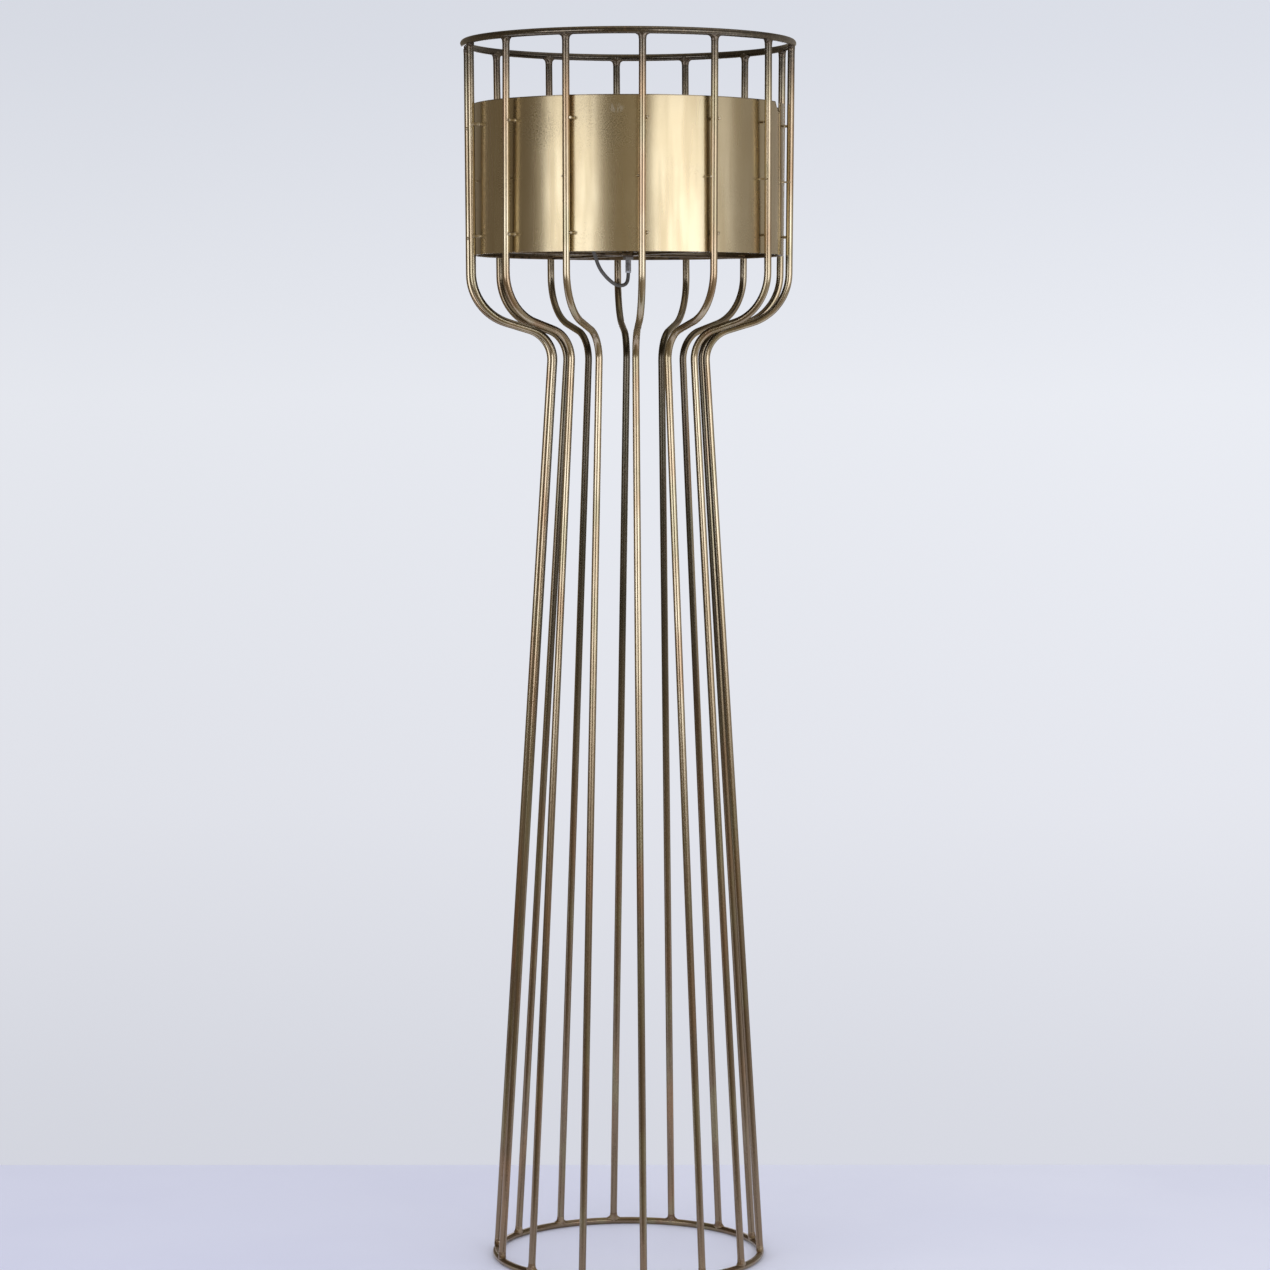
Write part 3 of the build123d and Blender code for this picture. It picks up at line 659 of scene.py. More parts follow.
@dataclass(frozen=True)
class SheetBrass:
    """Satin sheet brass, wiped up and down, with brown spots where the lacquer is thin."""

    side: Side = Side.OUTSIDE
    bright: Colour = (0.66, 0.545, 0.32)
    dull: Colour = (0.56, 0.44, 0.23)
    spot: Colour = (0.20, 0.15, 0.09)
    lining: Colour = (0.20, 0.15, 0.09)
    wiped_clean: Colour = (0.95, 0.90, 0.76)
    # Centre across and up, and half width and half height, of what shows on the drum's front.
    patches: tuple[tuple[Pair, Pair], ...] = (
        ((-0.122, 1.588), (0.030, 0.036)), ((-0.020, 1.590), (0.024, 0.045)),
    )
    scuff: tuple[Pair, Pair] = ((-0.016, 1.612), (0.012, 0.008))

    @property
    def name(self) -> str:
        """The finish's name."""
        return self.side.value

    def make(self) -> bpy.types.Material:
        """Mixes the finish."""
        mix = Recipe(self.name)
        _, _, z = mix.parts()
        wiped = mix.noise(46, 2, (1, 1, 0.10))
        cloud = mix.noise(13, 4)
        tone = mix.blend(mix.step(wiped, 0.30, 0.62), self.dull, self.bright)
        tone = mix.blend(mix.step(cloud, 0.42, 0.70, 0.0, 0.45), tone, self.dull)
        # Duller towards the drum's top: painted shade, for the lamps' reflection that fades upwards.
        tone = mix.blend(mix.step(z, 1.43, 1.64, 0.0, 0.40), tone, self.dull)
        # Spots where the lacquer is thin: two patches in front, fainter ones elsewhere.
        patch = mix.step(mix.noise(11, 2), 0.55, 0.66, 0.0, 0.35)
        for place, size in self.patches:
            patch = mix.maths("MAXIMUM", patch, self.smudge(mix, place, size))
        grains = mix.node("TexVoronoi", {}, Vector=mix.place, Scale=720.0).outputs["Distance"]
        spots = mix.maths("MULTIPLY", patch, mix.step(grains, 0.22, 0.50, 0.55, 0.0))
        tone = mix.blend(spots, tone, self.spot)
        streak = mix.step(mix.noise(420, 2, (1, 1, 0.3)), 0.42, 0.60, 0.0, 0.6)
        rubbed = mix.maths("MULTIPLY", self.smudge(mix, *self.scuff), streak)
        tone = mix.blend(rubbed, tone, self.wiped_clean)
        # The cut edge at the drum's top is dark.
        tone = mix.blend(mix.step(z, 1.6287, 1.6297, 0.0, 0.75), tone, self.spot)
        if self.side is Side.INSIDE:
            tone = mix.blend(0.8, tone, self.lining)
        duller = mix.maths("MULTIPLY", spots, 0.18)
        rough = mix.maths("ADD", mix.step(wiped, 0.3, 0.7, 0.29, 0.23), duller)
        height = mix.maths("ADD", mix.noise(500, 1, (1, 1, 0.12)), mix.maths("MULTIPLY", spots, 0.3))
        return mix.finish(
            Base_Color=tone, Metallic=1.0, Roughness=rough, Normal=mix.relief(height, 0.004 * MM),
            Coat_Weight=1.0, Coat_Roughness=0.25,
        )

    @staticmethod
    def smudge(mix: Recipe, place: Sequence[float], size: Sequence[float]) -> Socket:
        """How much of a soft oval patch of the drum's front is here.

        Args:
            mix: the finish.
            place: the patch's centre across and up.
            size: its half width and half height.

        Returns:
            1 in the middle, 0 outside.
        """
        x, y, z = mix.parts()
        across = mix.maths("DIVIDE", mix.maths("SUBTRACT", x, place[0]), size[0])
        up = mix.maths("DIVIDE", mix.maths("SUBTRACT", z, place[1]), size[1])
        far = mix.maths("ADD", mix.maths("MULTIPLY", across, across), mix.maths("MULTIPLY", up, up))
        return mix.maths("MULTIPLY", mix.step(far, 0.1, 1.0, 1.0, 0.0), mix.step(y, 0.0, -0.05))


@dataclass(frozen=True)
class Metal:
    """A plain metal with its tarnish, handling marks and fine grain."""

    name: str
    clean: Colour
    tarnish: Colour
    gloss: float = 0.3
    tarnished: float = 0.5
    grain: float = 0.05

    def make(self) -> bpy.types.Material:
        """Mixes the finish."""
        mix = Recipe(self.name)
        cloud = mix.noise(120, 4)
        fine = mix.noise(900, 3)
        share = mix.step(cloud, 0.66 - 0.3 * self.tarnished, 0.74 - 0.1 * self.tarnished, 0.05, 0.85)
        tone = mix.blend(share, self.clean, self.tarnish)
        grained = mix.step(fine, 0.3, 0.7, self.gloss, self.gloss + 0.08)
        rough = mix.maths("ADD", mix.maths("MULTIPLY", share, 0.16), grained)
        return mix.finish(
            Base_Color=tone, Metallic=1.0, Roughness=rough, Normal=mix.relief(fine, self.grain * MM),
        )


@dataclass(frozen=True)
class Moulding:
    """A moulded or pressed part: faint flow marks, fine texture and dust in its pores."""

    name: str
    body: Colour
    dusty: Colour
    gloss: float = 0.45
    grain: float = 0.04
    grain_size: float = 1100.0

    def make(self) -> bpy.types.Material:
        """Mixes the finish."""
        mix = Recipe(self.name)
        flow = mix.noise(60, 3, (1, 1, 2.5))
        fine = mix.noise(self.grain_size, 3)
        tone = mix.blend(mix.step(flow, 0.42, 0.70, 0.0, 0.55), self.body, self.dusty)
        tone = mix.blend(mix.step(fine, 0.60, 0.75, 0.0, 0.35), tone, self.dusty)
        rough = mix.step(flow, 0.3, 0.7, self.gloss, self.gloss + 0.12)
        return mix.finish(Base_Color=tone, Roughness=rough, Normal=mix.relief(fine, self.grain * MM))


@dataclass(frozen=True)
class StrapWeave:
    """Hook and loop strap: a soft black pile with woven ribs."""

    name: str = "tie_strap"
    pile: Colour = (0.018, 0.018, 0.020)
    worn: Colour = (0.07, 0.07, 0.075)

    def make(self) -> bpy.types.Material:
        """Mixes the finish."""
        mix = Recipe(self.name)
        loops = mix.node("TexVoronoi", {}, Vector=mix.place, Scale=1500.0).outputs["Distance"]
        tone = mix.blend(mix.step(loops, 0.1, 0.55), self.pile, self.worn)
        return mix.finish(
            Base_Color=tone, Roughness=mix.step(loops, 0.0, 0.6, 0.75, 0.95), Sheen_Weight=0.5,
            Normal=mix.relief(loops, 0.25 * MM),
        )


@dataclass(frozen=True)
class ClearGlass:
    """Thin blown glass with a trace of waviness."""

    name: str = "bulb_glass"

    def make(self) -> bpy.types.Material:
        """Mixes the finish."""
        mix = Recipe(self.name)
        waves = mix.noise(60, 2)
        return mix.finish(
            Base_Color=(0.98, 0.975, 0.96), Roughness=mix.step(waves, 0.3, 0.7, 0.02, 0.05), IOR=1.47,
            Transmission_Weight=1.0, Normal=mix.relief(waves, 0.05 * MM),
        )


@dataclass(frozen=True)
class FilamentCoat:
    """The yellow coating of a filament stick, unlit."""

    name: str = "filament"
    coat: Colour = (0.78, 0.56, 0.16)
    thin: Colour = (0.85, 0.74, 0.42)

    def make(self) -> bpy.types.Material:
        """Mixes the finish."""
        mix = Recipe(self.name)
        grains = mix.noise(1500, 2)
        tone = mix.blend(mix.step(grains, 0.35, 0.65), self.coat, self.thin)
        return mix.finish(
            Base_Color=tone, Roughness=mix.step(grains, 0.3, 0.7, 0.4, 0.6),
            Normal=mix.relief(grains, 0.05 * MM),
        )


class Finishes:
    """Every finish of the lamp, mixed once and handed out by name."""

    def __init__(self) -> None:
        """Mixes them all."""
        recipes = [
            AgedWire(),
            WeldMetal(),
            SheetBrass(Side.OUTSIDE),
            SheetBrass(Side.INSIDE),
            Metal("dark_bronze", (0.20, 0.145, 0.085), (0.06, 0.045, 0.032), 0.36, 0.6, 0.08),
            Metal("zinc_steel", (0.56, 0.57, 0.58), (0.24, 0.23, 0.21), 0.34, 0.4),
            Metal("lampholder_brass", (0.70, 0.53, 0.26), (0.36, 0.25, 0.12), 0.22, 0.35, 0.03),
            Metal("copper", (0.66, 0.58, 0.50), (0.42, 0.27, 0.16), 0.25, 0.3),
            Metal("bulb_metal", (0.74, 0.745, 0.75), (0.45, 0.45, 0.45), 0.26, 0.3, 0.03),
            Moulding("fibre", (0.10, 0.075, 0.055), (0.17, 0.14, 0.11), 0.62, 0.06, 700.0),
            Moulding("black_plastic", (0.016, 0.016, 0.017), (0.05, 0.05, 0.05), 0.34),
            Moulding("grey_plastic", (0.46, 0.47, 0.47), (0.56, 0.56, 0.55), 0.42),
            Moulding("lead_sheath", (0.095, 0.088, 0.075), (0.15, 0.14, 0.12), 0.40, 0.05, 900.0),
            Moulding("bulb_insulator", (0.012, 0.012, 0.014), (0.04, 0.04, 0.045), 0.12, 0.01),
            StrapWeave(),
            ClearGlass(),
            FilamentCoat(),
        ]
        self.by_name = {recipe.name: recipe.make() for recipe in recipes}

    def __getitem__(self, name: str) -> bpy.types.Material:
        """Hands out a finish."""
        return self.by_name[name]


@dataclass
class Workshop:
    """Hands pieces over: finish, body, slot and the nodes that they stand for."""

    finishes: Finishes
    delivered: list[str] = field(default_factory=list)

    def deliver(
        self, piece: bpy.types.Object, slot: str, *nodes: str, body: str = "lamp",
    ) -> bpy.types.Object:
        """Dresses a piece and puts it on its body.

        Args:
            piece: the finished shape.
            slot: the record's slot that it takes its finish from, and the finish's name.
            nodes: the solids that it stands for.
            body: the body that carries it.

        Returns:
            The piece.
        """
        piece.data.materials.clear()
        piece.data.materials.append(self.finishes[slot])
        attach(piece, body)
        if nodes:
            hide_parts(*nodes)
        self.delivered.append(piece.name)
        LOG.info("%s on %s, for %s", piece.name, body, ", ".join(nodes) or "no node")
        return piece

    def dress_nodes(self) -> None:
        """Gives each solid that still shows the finish of its own slot."""
        for entry in frame["record"]["subparts"]:
            node = frame["nodes"][entry["node"]]
            node.data.materials.clear()
            node.data.materials.append(self.finishes[entry["material_slot"]])


# ---- Cage ----
@dataclass
class Cage:
    """Two rings of wire, fourteen rods bent by hand between them, and the welds at their ends."""

    shop: Workshop
    wire_r: float = 5.0 * MM
    top_ring_r: float = 230.0 * MM
    top_ring_z: float = 1715.0 * MM
    base_ring_r: float = 189.0 * MM
    base_ring_z: float = 4.5 * MM
    rods: int = 14
    phase: float = 4.8
    twist: float = 1.2
    head_r: float = 229.0 * MM
    shoulder: tuple[float, float] = (226.2 * MM, 1342.0 * MM)
    waist: tuple[float, float] = (108.5 * MM, 1306.5 * MM)
    shoulder_bend: float = 72.0 * MM
    waist_bend: float = 43.0 * MM
    # How far each rod's head, shoulder, waist and foot stray from even spacing, degrees.
    stray: tuple[tuple[float, float, float, float], ...] = (
        (0.0, -0.1, 0.5, 0.4), (0.1, 0.2, -0.9, 1.2), (0.5, 1.6, -0.3, -0.4), (0.0, 0.0, 0.0, 0.0),
        (0.0, 0.0, 2.4, 0.0), (-0.6, -0.6, 1.7, 0.9), (-0.3, -1.1, -5.0, 0.1), (-0.5, -1.0, -3.8, 0.7),
        (-0.3, -0.8, 0.4, 0.3), (-0.7, -1.7, -4.0, 0.5), (0.0, 0.0, 0.0, 0.0), (0.0, 0.0, 2.2, 0.0),
        (0.2, -0.8, 1.2, -0.2), (-0.6, -0.7, -0.5, -0.1),
    )

    def build(self) -> None:
        """Builds the rings, then the rods, then the welds."""
        self.build_rings()
        self.build_rods()
        self.build_welds("top_weld_fillets", "top_ring_welds", 0, 1)
        self.build_welds("base_weld_fillets", "base_ring_welds", 3, 2)

    def corners(self, k: int) -> list[Vector]:
        """A rod's head, shoulder, waist and foot, by its number from 0."""
        angle = self.phase + k * 360 / self.rods
        head, shoulder, waist, foot = self.stray[k]
        return [
            around(angle + head, self.head_r, self.top_ring_z),
            around(angle + shoulder, *self.shoulder),
            around(angle + waist, *self.waist),
            around(angle + self.twist + foot, self.base_ring_r, self.base_ring_z),
        ]

    def beside_shade(self, k: int, height: float) -> Vector:
        """Where a rod's centre line is at a height beside the shade."""
        head, shoulder, _, _ = self.corners(k)
        return head.lerp(shoulder, (head.z - height) / (head.z - shoulder.z))

    def build_rings(self) -> None:
        """Builds the upper ring, and the base ring with the flat worn under it."""
        for name, node, radius, height in (
            ("upper_wire_ring", "top_ring", self.top_ring_r, self.top_ring_z),
            ("base_wire_ring", "base_ring", self.base_ring_r, self.base_ring_z),
        ):
            Bench.clear()
            bpy.ops.mesh.primitive_torus_add(
                major_radius=radius, minor_radius=self.wire_r, major_segments=224, minor_segments=20,
                location=(0, 0, height),
            )
            ring = Bench.open(name)
            Bench.cut((0, 0, 0), -UP)
            Bench.close(ring)
            self.shop.deliver(ring, "aged_brass_wire", node)

    def build_rods(self) -> None:
        """Bends each rod to its own corners."""
        bends = [self.shoulder_bend, self.waist_bend]
        for k in range(self.rods):
            name = f"bent_rod_{k + 1:02d}"
            rod = Bench.drawn(name, self.corners(k), bends, self.wire_r, sides=20, steps=16, runs=6)
            self.shop.deliver(rod, "aged_brass_wire", f"rod_{k + 1:02d}")

    def build_welds(self, name: str, node: str, end: int, towards: int) -> None:
        """Builds one fillet and sets a copy of it at every rod's end.

        Args:
            name: the piece's name.
            node: the solids that it stands for.
            end: which of a rod's corners the weld is at.
            towards: which corner the rod runs to from there.
        """
        weld = self.weld()
        copies = []
        for k in range(self.rods):
            corners = self.corners(k)
            foot = corners[end]
            along = (corners[towards] - foot).normalized()
            tangent = Vector((-foot.y, foot.x, 0)).normalized()
            turn = Matrix((tangent, along.cross(tangent), along)).transposed().to_4x4()
            copies.append(Bench.copy(weld, name, Matrix.Translation(foot) @ turn))
        bpy.data.objects.remove(weld)
        self.shop.deliver(Bench.join(copies, name), "weld_brass", node)

    def weld(self) -> bpy.types.Object:
        """Builds a fillet at the origin: a thin sleeve on a rod along +Z that flares along X."""
        # Height over the ring's centre, and half widths along and across the ring, millimetres.
        sections = (
            (14.0, 5.02, 5.02), (11.5, 5.2, 5.15), (10.0, 5.35, 5.2), (9.0, 5.5, 5.25), (8.0, 5.8, 5.3),
            (7.2, 6.25, 5.3), (6.5, 6.9, 5.3), (6.0, 7.6, 5.25), (5.5, 8.6, 5.2), (5.1, 9.7, 5.15),
            (4.6, 10.6, 5.1), (3.8, 10.9, 5.0), (2.5, 10.5, 4.9), (0.0, 9.0, 4.6),
        )
        rise, wide, deep = sections[0]
        piece = Bench.disc("weld", wide * MM, UP * rise * MM, -UP, 24)
        for next_rise, next_wide, next_deep in sections[1:]:
            Bench.extrude(UP * (next_rise - rise) * MM)
            Bench.scale((next_wide / wide, next_deep / deep, 1), UP * next_rise * MM)
            rise, wide, deep = next_rise, next_wide, next_deep
        bpy.ops.mesh.select_all(action="SELECT")
        bpy.ops.transform.vertex_random(offset=0.12 * MM, uniform=0.0, normal=1.0, seed=3)
        Bench.close(piece, 60)
        Bench.modify(piece, "SUBSURF", levels=1, render_levels=1)
        return piece


# ---- Shade ----
@dataclass
class Shade:
    """The rolled drum with its clipped corner, the hoop in its lower edge and the pins to the rods."""

    shop: Workshop
    cage: Cage
    radius: float = 218.0 * MM
    sheet: float = 1.0 * MM
    low: float = 1420.5 * MM
    height: float = 210.0 * MM
    seam: float = 73.7
    notch: float = 5.4
    notch_depth: float = 19.0 * MM
    joggle: float = 0.5
    lap: float = 3.3
    lap_step: float = 1.06
    rows: int = 14
    columns: int = 240
    wave_size: float = 0.11
    wave_depth: float = 1.0 * MM
    hoop_r: float = 214.9 * MM
    hoop_wire_r: float = 2.0 * MM
    pin_heights: tuple[float, float, float] = (25.0 * MM, 101.0 * MM, 179.0 * MM)
    pin_radii: tuple[float, float, float] = (2.0 * MM, 1.2 * MM, 2.0 * MM)
    pin_sides: tuple[int, int, int] = (1, -1, 1)
    pin_sink: float = 0.3 * MM
    pin_over: float = 2.0 * MM

    def build(self) -> None:
        """Builds the sheet, the hoop and three rows of pins."""
        self.build_sheet()
        Bench.clear()
        bpy.ops.mesh.primitive_torus_add(
            major_radius=self.hoop_r, minor_radius=self.hoop_wire_r, major_segments=200,
            minor_segments=12, location=(0, 0, self.low + self.hoop_wire_r),
        )
        hoop = Bench.open("drum_edge_hoop")
        bpy.ops.transform.vertex_random(offset=0.05 * MM, seed=5)
        Bench.close(hoop)
        self.shop.deliver(hoop, "dark_bronze", "shade_hoop")
        rows = zip(("lower", "middle", "upper"), self.pin_heights, self.pin_radii, self.pin_sides)
        for row, height, pin_r, side in rows:
            self.build_pins(row, self.low + height, pin_r, side)

    def build_sheet(self) -> None:
        """Rolls the sheet from its cut edge all the way round, then laps and clips its end."""
        middle = self.radius - self.sheet / 2
        top = self.low + self.height
        Bench.clear()
        bpy.ops.mesh.primitive_grid_add(
            x_subdivisions=1, y_subdivisions=self.rows, size=1, location=(0, 0, 0),
            rotation=(math.radians(90), 0, 0),
        )
        bpy.context.object.scale = (self.sheet, self.height, 1)
        piece = Bench.open("rolled_drum")
        place = around(self.seam, middle, self.low + self.height / 2)
        bpy.ops.transform.translate(value=place)
        bpy.ops.transform.rotate(
            value=-math.radians(self.seam - 90), orient_axis="Z", center_override=tuple(place)
        )
        Bench.bend(math.radians(360 - self.joggle), (0, 0, 0), UP, self.columns)
        end = self.seam - self.joggle
        self.clip_corner(top)
        tangent = around(end + 90, 1)
        Bench.pick(Pick.FACES, lambda face: (
            abs(face.normal.dot(tangent)) > 0.9 and abs(self.angle(face) - end) < 0.2
        ))
        Bench.extrude(around(end + self.joggle, middle - self.sheet * self.lap_step) - around(end, middle))
        Bench.bend(math.radians(self.lap), (0, 0, 0), UP, 4)
        Bench.close(piece)
        Bench.soften(piece, 0.12 * MM)
        waves = bpy.data.textures.new("sheet_waves", "CLOUDS")
        waves.noise_scale = self.wave_size
        Bench.modify(
            piece, "DISPLACE", texture=waves, strength=self.wave_depth, mid_level=0.5,
            texture_coords="LOCAL", direction="NORMAL",
        )
        self.shop.deliver(piece, "shade_brass", "shade_drum")
        piece.data.materials.append(self.shop.finishes["shade_lining"])
        for face in piece.data.polygons:
            outward = face.center.x * face.normal.x + face.center.y * face.normal.y
            face.material_index = 1 if outward < -0.5 * self.radius else 0

    @staticmethod
    def angle(face: bmesh.types.BMFace) -> float:
        """The angle of a face from the front, towards +X."""
        place = face.calc_center_median()
        return math.degrees(math.atan2(place.x, -place.y))

    def clip_corner(self, top: float) -> None:
        """Cuts the sheet's upper corner off beside the seam."""
        start = self.seam - self.notch
        Bench.pick(Pick.FACES, lambda face: start - 2 < self.angle(face) < self.seam - 0.1)
        middle = math.radians(start + self.notch / 2)
        run = math.radians(self.notch) * self.radius
        tangent = Vector((math.cos(middle), math.sin(middle), 0))
        Bench.cut(around(start, self.radius, top), tangent * self.notch_depth + UP * run)

    def build_pins(self, row: str, height: float, pin_r: float, side: int) -> None:
        """Builds one row of pins, soldered to the drum and brazed to one flank of each rod.

        Args:
            row: lower, middle or upper.
            height: of the row, from the floor.
            pin_r: half the thickness of a pin.
            side: 1 for the flank towards rising angles, -1 for the other.
        """
        inner = self.radius - 0.4 * MM
        outer = self.cage.beside_shade(0, height).xy.length + self.pin_over
        pin = Bench.disc("pin", pin_r * 1.5, around(0, inner, height), around(0, 1), 14)
        here, now = inner, 1.5
        # Share of the length, and thickness against the pin's own.
        for share, width in ((0.08, 1.2), (0.16, 1.0), (0.55, 1.0), (0.70, 1.12), (0.93, 1.16), (1.0, 0.8)):
            there = inner + share * (outer - inner)
            Bench.extrude(around(0, there - here))
            Bench.scale((width / now,) * 3, around(0, there, height))
            here, now = there, width
        Bench.close(pin, 50)
        copies = []
        for k in range(self.cage.rods):
            rod = self.cage.beside_shade(k, height)
            aside = side * math.degrees((self.cage.wire_r + pin_r - self.pin_sink) / rod.xy.length)
            angle = math.atan2(rod.x, -rod.y) + math.radians(aside)
            copies.append(Bench.copy(pin, row, Matrix.Rotation(angle, 4, "Z")))
        bpy.data.objects.remove(pin)
        self.shop.deliver(Bench.join(copies, f"{row}_drum_pins"), "weld_brass", f"{row}_standoffs")


# ---- Spider, nipple and lampholder ----
@dataclass
class Spider:
    """Four flat arms on a hub at the drum's lower edge, and what is screwed through the hub."""

    shop: Workshop
    low: float = 1420.5 * MM
    thick: float = 3.0 * MM
    arm_angles: tuple[float, float, float, float] = (-50.5, 29.5, 129.5, 209.5)
    arm_width: float = 12.0 * MM
    hub_r: float = 22.0 * MM
    hoop_in: float = 212.9 * MM
    nipple_r: float = 4.2 * MM
    nipple_low: float = 1399.5 * MM
    nipple_top: float = 1433.0 * MM
    lead_end: float = 1396.5 * MM
    nut_flats: float = 12.6 * MM
    nut_thick: float = 3.3 * MM
    washer_thick: float = 2.1 * MM
    earth_place: tuple[float, float] = (9.5 * MM, -12.5 * MM)

    def build(self) -> None:
        """Builds arms and hub, then the nipple with its nuts, then the earth wire."""
        self.build_arms()
        self.build_nipple()
        self.build_earth()

    def build_arms(self) -> None:
        """Builds the four arms, their weld beads and the hub."""
        inner, outer = self.hub_r - 2 * MM, self.hoop_in + 0.9 * MM
        middle = Vector((0, -(inner + outer) / 2, self.low + self.thick / 2))
        arm = Bench.block("arm", (self.arm_width, outer - inner, self.thick), middle)
        Bench.pick(Pick.EDGES, lambda edge: (
            abs((edge.verts[0].co - edge.verts[1].co).normalized().y) > 0.9
        ))
        bpy.ops.mesh.bevel(offset=0.7 * MM, segments=3)
        bpy.ops.mesh.select_all(action="SELECT")
        bpy.ops.mesh.subdivide(number_cuts=1)
        Bench.close(arm)
        self.shop.deliver(Bench.ring_of(arm, "flat_arms", self.arm_angles), "dark_bronze", "spider_arms")

        top = self.low + self.thick
        beads = []
        for k in range(5):
            side = (k - 2) * self.arm_width / 4.6
            Bench.clear()
            bpy.ops.mesh.primitive_uv_sphere_add(
                segments=16, ring_count=10, radius=2.4 * MM, location=(side, -self.hoop_in + 1.0 * MM, top),
            )
            bead = Bench.open("bead")
            Bench.scale((0.95 + 0.08 * (k % 2), 1.0, 0.8 + 0.1 * (k % 3)), (side, -self.hoop_in, top))
            Bench.cut((0, 0, top - 0.6 * MM), -UP)
            beads.append(Bench.close(bead, 60))
        bead_run = Bench.join(beads, "bead_run")
        welds = Bench.ring_of(bead_run, "arm_weld_beads", self.arm_angles)
        self.shop.deliver(welds, "weld_brass", "spider_arm_welds")

        radii = (self.nipple_r + 0.1 * MM, self.hub_r)
        hub = Bench.washer("spider_hub_disc", radii, (self.low, top), 96, 0.4 * MM)
        self.shop.deliver(hub, "dark_bronze", "spider_hub")

    def build_nipple(self) -> None:
        """Builds the threaded tube, its nuts and washers, and the bushing at its end."""
        pitch, depth = 1.0 * MM, 0.45 * MM
        crest, root = self.nipple_r, self.nipple_r - depth
        thread = [
            (crest, 0.0), (crest, 0.12 * pitch), (root, 0.5 * pitch), (root, 0.6 * pitch), (crest, pitch),
        ]
        nipple = Bench.threaded("threaded_tube", thread, pitch, self.nipple_low, self.nipple_top)
        self.shop.deliver(nipple, "zinc_steel", "threaded_nipple")

        top = self.low + self.thick
        washer_low = self.low - self.washer_thick
        bore = self.nipple_r + 0.05 * MM
        for name, node, slot, low, high, radius in (
            ("fibre_washer", "lower_washer", "fibre", washer_low, self.low, 7.6 * MM),
            ("steel_washer", "upper_washer", "zinc_steel", top, top + 1.2 * MM, 9.0 * MM),
        ):
            self.shop.deliver(Bench.washer(name, (bore, radius), (low, high), 64, 0.25 * MM), slot, node)

        nut_low = washer_low - self.nut_thick
        corner = self.nut_flats / 2 / math.cos(math.radians(30))
        wide, flat, chamfer = corner + 0.1 * MM, corner - 0.9 * MM, 0.55 * MM
        nut = Bench.turned("hexagon_locknut", [
            (bore, nut_low), (flat, nut_low), (wide, nut_low + chamfer), (wide, washer_low - chamfer),
            (flat, washer_low), (bore, washer_low), (bore, nut_low),
        ], 72)
        bpy.ops.object.mode_set(mode="EDIT")
        for k in range(6):
            way = around(60 * k, 1)
            bpy.ops.mesh.select_all(action="SELECT")
            Bench.cut(way * self.nut_flats / 2, way)
        Bench.close(nut, 25)
        self.shop.deliver(nut, "zinc_steel", "lower_locknut")

        bushing = Bench.turned("lead_bushing", raised(
            self.lead_end, (2.65, 0), (3.4, 0), (4.0, 0.8), (4.2, 2.5), (4.2, 3.0), (3.2, 3.0), (3.2, 9.0),
            (2.65, 9.0), (2.65, 0),
        ), 48, 0.2 * MM)
        self.shop.deliver(bushing, "grey_plastic", "cord_bushing")

    def build_earth(self) -> None:
        """Builds the earth screw on the hub and the bare wire from it."""
        x, y = self.earth_place
        top = self.low + self.thick
        screw = Bench.turned("earth_screw_head", raised(
            top, (0, 0), (2.8, 0), (2.8, 1.1), (2.3, 1.75), (1.2, 2.0), (0, 2.0),
        ), 40, 0.1 * MM)
        slot = Bench.block("slot", (7 * MM, 0.8 * MM, 1.6 * MM), UP * (top + 2 * MM))
        Bench.close(slot)
        Bench.modify(screw, "BOOLEAN", operation="DIFFERENCE", object=slot, solver="EXACT")
        bpy.data.objects.remove(slot)
        screw.data.transform(Matrix.Translation((x, y, 0)))
        Bench.smooth(screw)
        self.shop.deliver(screw, "zinc_steel", "earth_screw")
        corners = [
            Vector((x - left * MM, y + back * MM, top + up * MM))
            for left, back, up in ((1.0, 0.1, 0.75), (7, 0.6, 1.1), (12, 1.3, 3.4), (14.6, 2.6, 8.0))
        ]
        wire = Bench.drawn("bare_earth_wire", corners, [4 * MM, 3 * MM], 0.6 * MM, sides=12, steps=8)
        self.shop.deliver(wire, "copper", "earth_wire")


